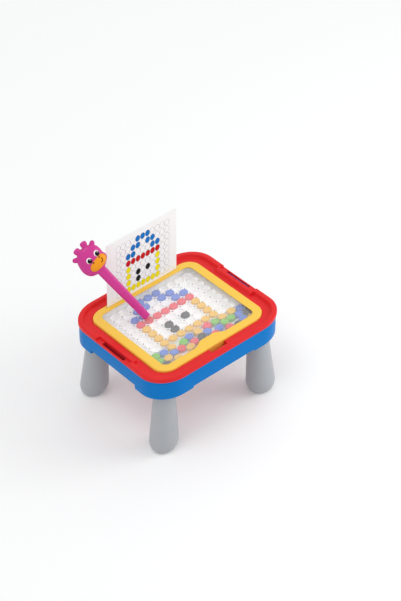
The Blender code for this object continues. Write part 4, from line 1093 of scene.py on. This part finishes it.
class DRAWINGBOARD_OT_card(bpy.types.Operator):
    """Picture card in its slot, with a printed lattice of cells"""
    bl_idname = "drawing_board.card"
    bl_label = "Picture card"

    def execute(self, context):
        upright = Matrix.Translation((0, CARD_Y, 0)) @ Matrix.Rotation(math.pi / 2, 4, "X")
        half = (CARD_HIGH.y - CARD_LOW.y) / 2
        card = prism((CARD_LOW.x, CARD_LOW.z), (CARD_HIGH.x, CARD_HIGH.z), CARD_CORNER, -half, half,
                     CARD_EDGE)
        add_piece("picture_card", to_mesh("card", [moved(card, upright)]), "card_white_coated", "card",
                  ["reference_card"], "card")
        every_cell = [(column, row) for column in range(COLUMNS) for row in range(ROWS)]
        for kind, cells in (("outlines", every_cell), *CARD_PICTURE.items()):
            draw, ink = (self.ring, "grey") if kind == "outlines" else (self.dot, kind)
            shapes = [moved(draw(x, z, half), upright) for x, z in self.centres(cells)]
            add_piece(f"card_print_{kind}", to_mesh(kind, shapes), f"ink_{ink}_printed", "card", slot="card")
        return {"FINISHED"}

    def centres(self, cells):
        """Places of the cells on the card's face."""
        middle = (CARD_LOW.x + CARD_HIGH.x) / 2 + PRINT_ASIDE
        first = CARD_LOW.z + PRINT_UP
        return [(middle + (column - (COLUMNS - 1) / 2) * PRINT_PITCH_X, first + row * PRINT_PITCH_Z)
                for column, row in cells]

    def ellipse(self, x, z, wide, tall, height):
        """Points of an ellipse at a height over the card's middle plane."""
        flat = np.array([x, z]) + circle(full_turn(PRINT_STEPS)) * (wide, tall)
        return np.concatenate([flat, np.full((PRINT_STEPS, 1), height)], axis=1)

    def ring(self, x, z, face):
        """A flat ring: inner and outer ellipse, each sunk in the card and raised over its face."""
        size, low = (PRINT_WIDE, PRINT_TALL), face - PRINT_LINE / 4
        inner, high = (PRINT_WIDE - PRINT_LINE, PRINT_TALL - PRINT_LINE), face + PRINT_RAISE
        corners = ((size, low), (size, high), (inner, high), (inner, low))
        return surface(np.stack([self.ellipse(x, z, *half, height) for half, height in corners]), wrap=True)

    def dot(self, x, z, face):
        """A flat filled ellipse."""
        size = (PRINT_WIDE * PRINT_FILL, PRINT_TALL * PRINT_FILL)
        return surface(np.stack([self.ellipse(x, z, *size, height)
                                 for height in (face - PRINT_SUNK, face + PRINT_RAISE)]), caps=True)


def pen_place():
    """Pen's own axes in the frame: +Z from the tip to the head, -Y the way its face looks."""
    joint = JOINTS["pen_lift"]
    x, y, z = joint["axis"]
    turn = (Matrix.Rotation(math.atan2(y, x), 4, "Z") @ Matrix.Rotation(math.acos(z), 4, "Y")
            @ Matrix.Rotation(settings("pen").turn, 4, "Z"))
    return Matrix.Translation(joint["pos_m"]) @ turn


def leaning(x, y, z, tilt):
    """A place that leans to one side by an angle."""
    return Matrix.Translation((x, y, z)) @ Matrix.Rotation(tilt, 4, "Y")


def power(value, exponent):
    """A signed power."""
    return np.sign(value) * np.abs(value) ** exponent


def bulb(half, place, squareness=2.0, steps=40, rows=24):
    """Super-ellipsoid: each axis' half length times signed powers 2 / squareness of sines and cosines."""
    exponent = 2 / squareness
    tilt = np.linspace(-math.pi / 2, math.pi / 2, rows + 1)[:, None]
    turn = full_turn(steps)[None]
    x = half[0] * power(np.cos(tilt), exponent) * power(np.cos(turn), exponent)
    y = half[1] * power(np.cos(tilt), exponent) * power(np.sin(turn), exponent)
    z = half[2] * power(np.sin(tilt), exponent) * np.ones_like(turn)
    return moved(surface(np.stack([x, y, z], axis=-1)), place)


def half_of(mesh, plane, normal):
    """Keep the side of a closed mesh that the normal points away from, and close the cut."""
    result = bpy.data.meshes.new(mesh.name)
    with edited(mesh, result) as shape:
        parts = [*shape.verts, *shape.edges, *shape.faces]
        bmesh.ops.bisect_plane(shape, geom=parts, dist=TINY, plane_co=plane, plane_no=normal,
                               clear_outer=True)
        bmesh.ops.holes_fill(shape, edges=open_edges(shape), sides=0)
    return result


def blended(mesh, voxel, smooth_steps):
    """Overlapping shells made one skin by a voxel remesh, then smoothed."""
    holder = placed("blend", mesh)
    skin = holder.modifiers.new("skin", "REMESH")
    skin.mode, skin.voxel_size = "VOXEL", voxel
    soft = holder.modifiers.new("soft", "SMOOTH")
    soft.factor, soft.iterations = 0.5, smooth_steps
    return applied(holder)


PEN_STEPS, HEAD_ROWS, MUZZLE_ROWS, MAGNET_STEPS = 64, 40, 32, 40
HEAD_SQUARENESS, KNOB_SQUARENESS, SHAFT_SQUARENESS = 2.37, 2.8, 3
MUZZLE_SQUARENESS = EAR_SQUARENESS = 2.3
CHEEK_GROW = (1.4 * MM, -1 * MM, 1.2 * MM)  # cheeks beyond the muzzle: across, deep and tall
CHEEK_BACK = 1.6 * MM
SKIN_SMOOTHING = 6
HALVES_GAP, MUZZLE_GAP = 0.12 * MM, 0.15 * MM
MUZZLE_CUT = -1 * MM         # where the muzzle's back is cut flat
MAGNET_PROUD = 0.6 * MM
HOLE_START = -5 * MM         # the magnet's hole is cut from below the tip
NECK_ROWS, NECK_POWER = 30, 2 / 3
# Rounded tip of the neck, in millimetres: heights, and what each takes off the half width
TIP_HEIGHTS, TIP_CUTS, TIP_END = (0, 0.25, 0.8), (0.7, 0.25, 0), 2
# Horns and ears: places across and along in millimetres, then tilt in degrees
HORNS = ((7.2, 174.4, 10), (-7.1, 172.8, -8))
EARS = ((16.3, 164.3, 40), (-16.7, 162.5, -46))
KNOB_DEEP, KNOB_TALL, EAR_DEEP = 0.7, 0.9, 0.7  # shares of the half width
SHAFT_DEEP, SHAFT_TALL = 0.8, 1.6  # shares of the shaft's and of the knob's half width
MUZZLE_PLACE, MUZZLE_TILT = (3.7 * MM, -3.4 * MM, 136 * MM), -7.6 * DEG
EYES = ((-3.6, 150.3), (11.9, 150.8))
NOSTRILS = ((-1.1, 142.8), (10.9, 143.7))
# Painted lenses: aside, up, half width, half height and thickness in millimetres, then tilt in radians
EYE_WHITE, EYE_LIGHT = (0, 0, 4.3, 5.4, 0.55, 0.1), (1.9, 0.9, 1, 1.1, 1.3, 0)
EYE_BLACK, NOSTRIL = (0.4, -0.9, 3.8, 4.6, 1, 0.1), (0, 0, 1.3, 1.3, 0.4, 0)
LENS_STEPS, LENS_ROWS = 28, 14
SLOPE_STEP = 0.5 * MM        # either side of a lens, to measure the surface's slope
SMILE_X, SMILE_Z, SMILE_RADIUS, SMILE_HALF = 8.2 * MM, 139.6 * MM, 4.6 * MM, 0.85 * MM
SMILE_START, SMILE_END = -104, 26  # degrees
SMILE_POINTS, SMILE_STEPS, SMILE_THICK = 31, 10, 0.5  # along and round the line, and depth to width


class DRAWINGBOARD_OT_pen(bpy.types.Operator):
    """Magenta pen with an animal's head: two moulded halves, muzzle, painted eyes and magnet"""
    bl_idname = "drawing_board.pen"
    bl_label = "Pen"

    def execute(self, context):
        p = settings("pen")
        place = pen_place()
        head = bulb((p.head_width, p.head_depth, p.head_height), self.head_place(p), HEAD_SQUARENESS,
                    PEN_STEPS, HEAD_ROWS)
        muzzle_half = (p.muzzle_width, p.muzzle_depth, p.muzzle_height)
        cheeks = bulb([half + grow for half, grow in zip(muzzle_half, CHEEK_GROW)],
                      Matrix.Translation((0, CHEEK_BACK, 0)) @ leaning(*MUZZLE_PLACE, MUZZLE_TILT),
                      MUZZLE_SQUARENESS, PEN_STEPS, MUZZLE_ROWS)
        skin = blended(to_mesh("head", [head, cheeks] + self.horns_and_ears(p)), p.voxel, SKIN_SMOOTHING)
        skin = combine(to_mesh("neck", [self.neck(p)]), [("UNION", skin)])
        muzzle = self.muzzle(muzzle_half, 0)
        wide, low, high = p.magnet_radius + SEAM, HOLE_START, p.magnet_length
        hole = turned([(0, low), (wide, low), (wide, high), (0, high)], MAGNET_STEPS)
        skin = combine(skin, [("DIFFERENCE", to_mesh("hole", [hole]))])
        front = half_of(skin, (0, -HALVES_GAP, 0), (0, 1, 0))
        front = combine(front, [("DIFFERENCE", self.muzzle(muzzle_half, MUZZLE_GAP))])
        back = half_of(skin, (0, HALVES_GAP, 0), (0, -1, 0))
        for name, mesh, finish, node, slot in (
                ("pen_front_magenta", front, "abs_magenta_polished", "pen_front", "magenta_plastic"),
                ("pen_back_magenta", back, "abs_magenta_polished", "pen_back", "magenta_plastic"),
                ("pen_muzzle_orange", muzzle, "abs_orange_satin", "pen_muzzle", "orange_plastic")):
            mesh.transform(place)
            add_piece(name, mesh, finish, "pen", [node], slot)
        low, high = -MAGNET_PROUD, p.magnet_length - MAGNET_PROUD
        profile = soft_profile([(0, low), (p.magnet_radius, low), (p.magnet_radius, high), (0, high)],
                               [0, FINE, FINE, 0])
        magnet = to_mesh("magnet", [turned(profile, MAGNET_STEPS)])
        magnet.transform(place)
        add_piece("pen_magnet_disc", magnet, "ferrite_magnet_painted", "pen", ["pen_magnet"], "magnet")
        self.face(p, place)
        return {"FINISHED"}

    def head_place(self, p):
        return leaning(p.head_aside, p.head_back, p.head_up, p.head_tilt)

    def neck(self, p):
        """A super-ellipse that widens along the pen: |x / w|^3 + |y / d|^3 = 1 at every height."""
        turns = full_turn(PEN_STEPS)
        heights = np.concatenate([TIP_HEIGHTS, np.linspace(TIP_END, p.head_up / MM, NECK_ROWS)]) * MM
        wide = np.interp(heights, (0, p.head_up), (p.tip_radius, p.top_radius))
        wide = wide - np.concatenate([TIP_CUTS, np.zeros(NECK_ROWS)]) * MM
        x = wide[:, None] * power(np.cos(turns), NECK_POWER)
        y = wide[:, None] * p.neck_flatness * power(np.sin(turns), NECK_POWER)
        z = np.broadcast_to(heights[:, None], x.shape)
        return surface(np.stack([x, y, z], axis=-1), caps=True)

    def horns_and_ears(self, p):
        """Two horns, each a shaft with a knob, and two leaf-shaped ears."""
        shapes = []
        for aside, along, tilt in HORNS:
            knob = leaning(aside * MM, p.head_back, along * MM, tilt * DEG)
            shapes.append(bulb((p.horn_width, p.horn_width * KNOB_DEEP, p.horn_width * KNOB_TALL), knob,
                               KNOB_SQUARENESS))
            shaft = knob @ Matrix.Translation((0, 0, -p.horn_width))
            shapes.append(bulb((p.horn_shaft, p.horn_shaft * SHAFT_DEEP, p.horn_width * SHAFT_TALL), shaft,
                               SHAFT_SQUARENESS))
        for aside, along, tilt in EARS:
            ear = leaning(aside * MM, p.head_back, along * MM, tilt * DEG)
            shapes.append(bulb((p.ear_width, p.ear_width * EAR_DEEP, p.ear_length), ear, EAR_SQUARENESS))
        return shapes

    def muzzle(self, half, grow):
        """Front of the muzzle: a bulb cut flat where it sits in the head."""
        whole = bulb([size + grow for size in half], leaning(*MUZZLE_PLACE, MUZZLE_TILT), MUZZLE_SQUARENESS,
                     PEN_STEPS, MUZZLE_ROWS)
        return half_of(to_mesh("muzzle", [whole]), (0, MUZZLE_CUT + grow, 0), (0, 1, 0))

    def face(self, p, place):
        """Painted eyes on the head, nostrils and smile on the muzzle, each a thin lens on the surface.

        A surface's depth at a place comes from its super-ellipsoid, solved for the axis that faces ahead.
        """
        def front_of(matrix, wide, deep, tall, squareness):
            """A function that gives the depth of the surface at a place."""
            back = matrix.inverted()

            def depth(x, z):
                across, _, along = back @ Vector((x, matrix.translation.y, z))
                share = 1 - abs(across / wide) ** squareness - abs(along / tall) ** squareness
                return matrix.translation.y - deep * max(share, 0) ** (1 / squareness)
            return depth

        on_head = front_of(self.head_place(p), p.head_width, p.head_depth, p.head_height, HEAD_SQUARENESS)
        on_muzzle = front_of(leaning(*MUZZLE_PLACE, MUZZLE_TILT), p.muzzle_width, p.muzzle_depth,
                             p.muzzle_height, MUZZLE_SQUARENESS)

        def lens(spot, shape, depth):
            """A flat bulb laid against the surface: turned so that it follows the slope there."""
            *sizes, tilt = shape
            aside, rise, wide, tall, thick = (size * MM for size in sizes)
            x, z = spot[0] * MM + aside, spot[1] * MM + rise
            step = SLOPE_STEP
            slope_x = (depth(x + step, z) - depth(x - step, z)) / (2 * step)
            slope_z = (depth(x, z + step) - depth(x, z - step)) / (2 * step)
            normal = Vector((slope_x, -1, slope_z)).normalized()
            turn = Vector((0, -1, 0)).rotation_difference(normal).to_matrix().to_4x4()
            put = Matrix.Translation((x, depth(x, z), z)) @ turn @ Matrix.Rotation(tilt, 4, "Y")
            return bulb((wide, thick, tall), put, 2, LENS_STEPS, LENS_ROWS)

        whites = [lens(eye, shape, on_head) for eye in EYES for shape in (EYE_WHITE, EYE_LIGHT)]
        blacks = [lens(eye, EYE_BLACK, on_head) for eye in EYES]
        lines = [lens(nostril, NOSTRIL, on_muzzle) for nostril in NOSTRILS] + [self.smile(on_muzzle)]
        for name, shapes, finish, slot in (
                ("pen_eyes_white", whites, "paint_white_printed", "magenta_plastic"),
                ("pen_pupils_black", blacks, "paint_black_printed", "magenta_plastic"),
                ("pen_muzzle_marks", lines, "paint_brown_printed", "orange_plastic")):
            mesh = to_mesh(name, [moved(shape, place) for shape in shapes])
            add_piece(name, mesh, finish, "pen", slot=slot)

    def smile(self, depth):
        """A painted line along part of a circle: at each point an ellipse square to the line.

        The ellipse shrinks to nothing at both ends, by the square root of a sine.
        """
        turns = np.linspace(SMILE_START, SMILE_END, SMILE_POINTS) * DEG
        x = SMILE_X + SMILE_RADIUS * np.cos(turns)
        z = SMILE_Z + SMILE_RADIUS * np.sin(turns)
        y = np.array([depth(*spot) for spot in zip(x, z)])
        line = np.stack([x, y, z], axis=1)
        along = np.gradient(line, axis=0)
        side = np.cross(along, (0, -1, 0))
        side /= np.linalg.norm(side, axis=1)[:, None]
        wide = SMILE_HALF * np.sqrt(np.sin(np.linspace(0, math.pi, len(turns))))
        cos, sin = circle(full_turn(SMILE_STEPS)).T[..., None]
        out = SMILE_THICK * (np.array([0, -1, 0]) * sin)
        return surface(line[:, None] + wide[:, None, None] * (side[:, None] * cos + out))


# Camera, fitted to the photograph: two angles in radians, its distance, the picture's scale and centre
CAMERA_TURN, CAMERA_PITCH = 0.634, 0.689
CAMERA_DISTANCE = 3.233
PIXELS_PER_METRE = 626.0
CENTRE_X, CENTRE_Y = 177.056, 314.39
PICTURE_LEAN = 0.119         # pixels that the picture drops by for each pixel to the right
PICTURE_WIDTH, PICTURE_HEIGHT = 401, 601
SENSOR = 36.0

FLOOR_HALF, FLOOR_POINTS, FLOOR_Z = 6, 9, -0.02 * MM
FLOOR_GLOW = 0.13            # extra light that the camera sees on the floor
FLOOR_ROUGHNESS = 0.9        # matt paint, too dull for any highlight
LAMP_AIM, LAMP_DISTANCE = (0, 0, 0.15), 1.3
SUN_FROM, FILL_FROM = (-0.4, 0.0, 1.0), (0.9, -0.8, 0.6)
SUN_ANGLE, DISK_SIZE = 30 * DEG, 0.9


class DRAWINGBOARD_OT_stage(bpy.types.Operator):
    """Pale floor, soft lamps and the camera"""
    bl_idname = "drawing_board.stage"
    bl_label = "Stage"

    def execute(self, context):
        s = settings("stage")
        self.make_camera()
        self.make_floor(s)
        self.make_world(s)
        self.make_lamp("SUN", "sun_overhead", SUN_FROM, s.sun)
        self.make_lamp("AREA", "fill_front", FILL_FROM, s.fill)
        context.scene.view_settings.view_transform = "Standard"
        return {"FINISHED"}

    def make_camera(self):
        """A camera whose parent shears it, so that upright lines stay upright while level ones slope."""
        sa, ca = math.sin(CAMERA_TURN), math.cos(CAMERA_TURN)
        sp, cp = math.sin(CAMERA_PITCH), math.cos(CAMERA_PITCH)
        away = Vector((sa * cp, ca * cp, -sp))
        right = Vector((ca, -sa, 0))
        up = right.cross(away)
        eye = Vector((0, 0, BOARD_Z)) - away * CAMERA_DISTANCE
        lens = bpy.data.cameras.new("camera")
        lens.sensor_fit = "HORIZONTAL"
        lens.sensor_width = SENSOR
        lens.lens = SENSOR * PIXELS_PER_METRE * CAMERA_DISTANCE / PICTURE_WIDTH
        lens.shift_x = -(CENTRE_X - PICTURE_WIDTH / 2) / PICTURE_WIDTH
        lens.shift_y = (CENTRE_Y - PICTURE_HEIGHT / 2) / PICTURE_WIDTH
        camera, stand = placed("camera", lens), placed("camera_stand", None)
        plain = Matrix([(*row, place) for row, place in zip(zip(right, up, -away), eye)] + [(0, 0, 0, 1)])
        skew = Matrix.Identity(4)
        skew[1][0] = -PICTURE_LEAN
        camera.parent = stand
        camera.matrix_parent_inverse = plain @ skew
        camera.matrix_basis = Matrix.Identity(4)
        bpy.context.scene.camera = camera

    def make_floor(self, s):
        """A wide flat grid. The camera sees more light on it, so that it fades into the backdrop."""
        side = np.linspace(-FLOOR_HALF, FLOOR_HALF, FLOOR_POINTS)
        x, y = np.meshgrid(side, side, indexing="ij")
        points = np.stack([x, y, np.full_like(x, FLOOR_Z)], axis=-1).reshape(-1, 3)
        index = np.arange(FLOOR_POINTS ** 2).reshape(FLOOR_POINTS, FLOOR_POINTS)
        quads = np.stack([index[:-1, :-1], index[1:, :-1], index[1:, 1:], index[:-1, 1:]], axis=-1)
        mesh = bpy.data.meshes.new("floor")
        mesh.from_pydata(points.tolist(), [], quads.reshape(-1, 4).tolist())
        tree, shader = new_material("floor_painted_matt", {
            "Base Color": (*s.floor, 1), "Roughness": FLOOR_ROUGHNESS, "Specular IOR Level": 0,
            "Emission Color": (1, 1, 1, 1)})
        glow = add_node(tree, "ShaderNodeMath", {"operation": "MULTIPLY", 1: FLOOR_GLOW},
                        {0: self.seen(tree)})
        tree.links.new(glow.outputs[0], shader.inputs["Emission Strength"])
        mesh.materials.append(bpy.data.materials["floor_painted_matt"])
        placed("floor", mesh)

    def seen(self, tree):
        """1 for what the camera sees, straight or in a gloss or through the window."""
        path = add_node(tree, "ShaderNodeLightPath")
        first = add_node(tree, "ShaderNodeMath", {"operation": "MAXIMUM"},
                         {0: path.outputs["Is Camera Ray"], 1: path.outputs["Is Glossy Ray"]})
        return add_node(tree, "ShaderNodeMath", {"operation": "MAXIMUM"},
                        {0: first.outputs[0], 1: path.outputs["Is Transmission Ray"]}).outputs[0]

    def make_world(self, s):
        world = bpy.data.worlds.new("sky")
        bpy.context.scene.world = world
        world.use_nodes = True
        tree = world.node_tree
        shader = tree.nodes["Background"]
        shader.inputs["Color"].default_value = (1, 1, 1, 1)
        tree.links.new(ranged(tree, self.seen(tree), s.sky, s.backdrop), shader.inputs["Strength"])

    def make_lamp(self, kind, name, direction, strength):
        """A lamp that looks at the object from a direction."""
        lamp = bpy.data.lights.new(name, kind)
        lamp.energy = strength
        if kind == "SUN":
            lamp.angle = SUN_ANGLE
        else:
            lamp.shape, lamp.size = "DISK", DISK_SIZE
        holder = placed(name, lamp)
        way = Vector(direction).normalized()
        holder.location = Vector(LAMP_AIM) + way * LAMP_DISTANCE
        holder.rotation_euler = way.to_track_quat("Z", "Y").to_euler()


OPERATORS = (DRAWINGBOARD_OT_stage, DRAWINGBOARD_OT_tray, DRAWINGBOARD_OT_skirt, DRAWINGBOARD_OT_legs,
             DRAWINGBOARD_OT_board, DRAWINGBOARD_OT_tablets, DRAWINGBOARD_OT_card, DRAWINGBOARD_OT_pen)


class DRAWINGBOARD_PT_panel(bpy.types.Panel):
    """Lists the pieces and the sizes and colours they are made with"""
    bl_label = "Drawing board"
    bl_idname = "DRAWINGBOARD_PT_panel"
    bl_space_type = "VIEW_3D"
    bl_region_type = "UI"
    bl_category = "Drawing board"

    def draw(self, context):
        for operator in OPERATORS:
            self.layout.operator(operator.bl_idname)
        for group, kind in GROUPS.items():
            box = self.layout.box()
            box.label(text=group.capitalize())
            for name in kind.__annotations__:
                box.prop(settings(group), name)


def register():
    for kind in (*GROUPS.values(), *OPERATORS, DRAWINGBOARD_PT_panel):
        bpy.utils.register_class(kind)
    for group, kind in GROUPS.items():
        setattr(bpy.types.Scene, "drawing_board_" + group, bpy.props.PointerProperty(type=kind))


def unregister():
    for group in GROUPS:
        delattr(bpy.types.Scene, "drawing_board_" + group)
    for kind in (DRAWINGBOARD_PT_panel, *reversed(OPERATORS), *reversed(GROUPS.values())):
        bpy.utils.unregister_class(kind)


def main():
    register()
    make_materials()
    for operator in OPERATORS:
        group, name = operator.bl_idname.split(".")
        getattr(getattr(bpy.ops, group), name)()


if __name__ == "__main__":
    main()
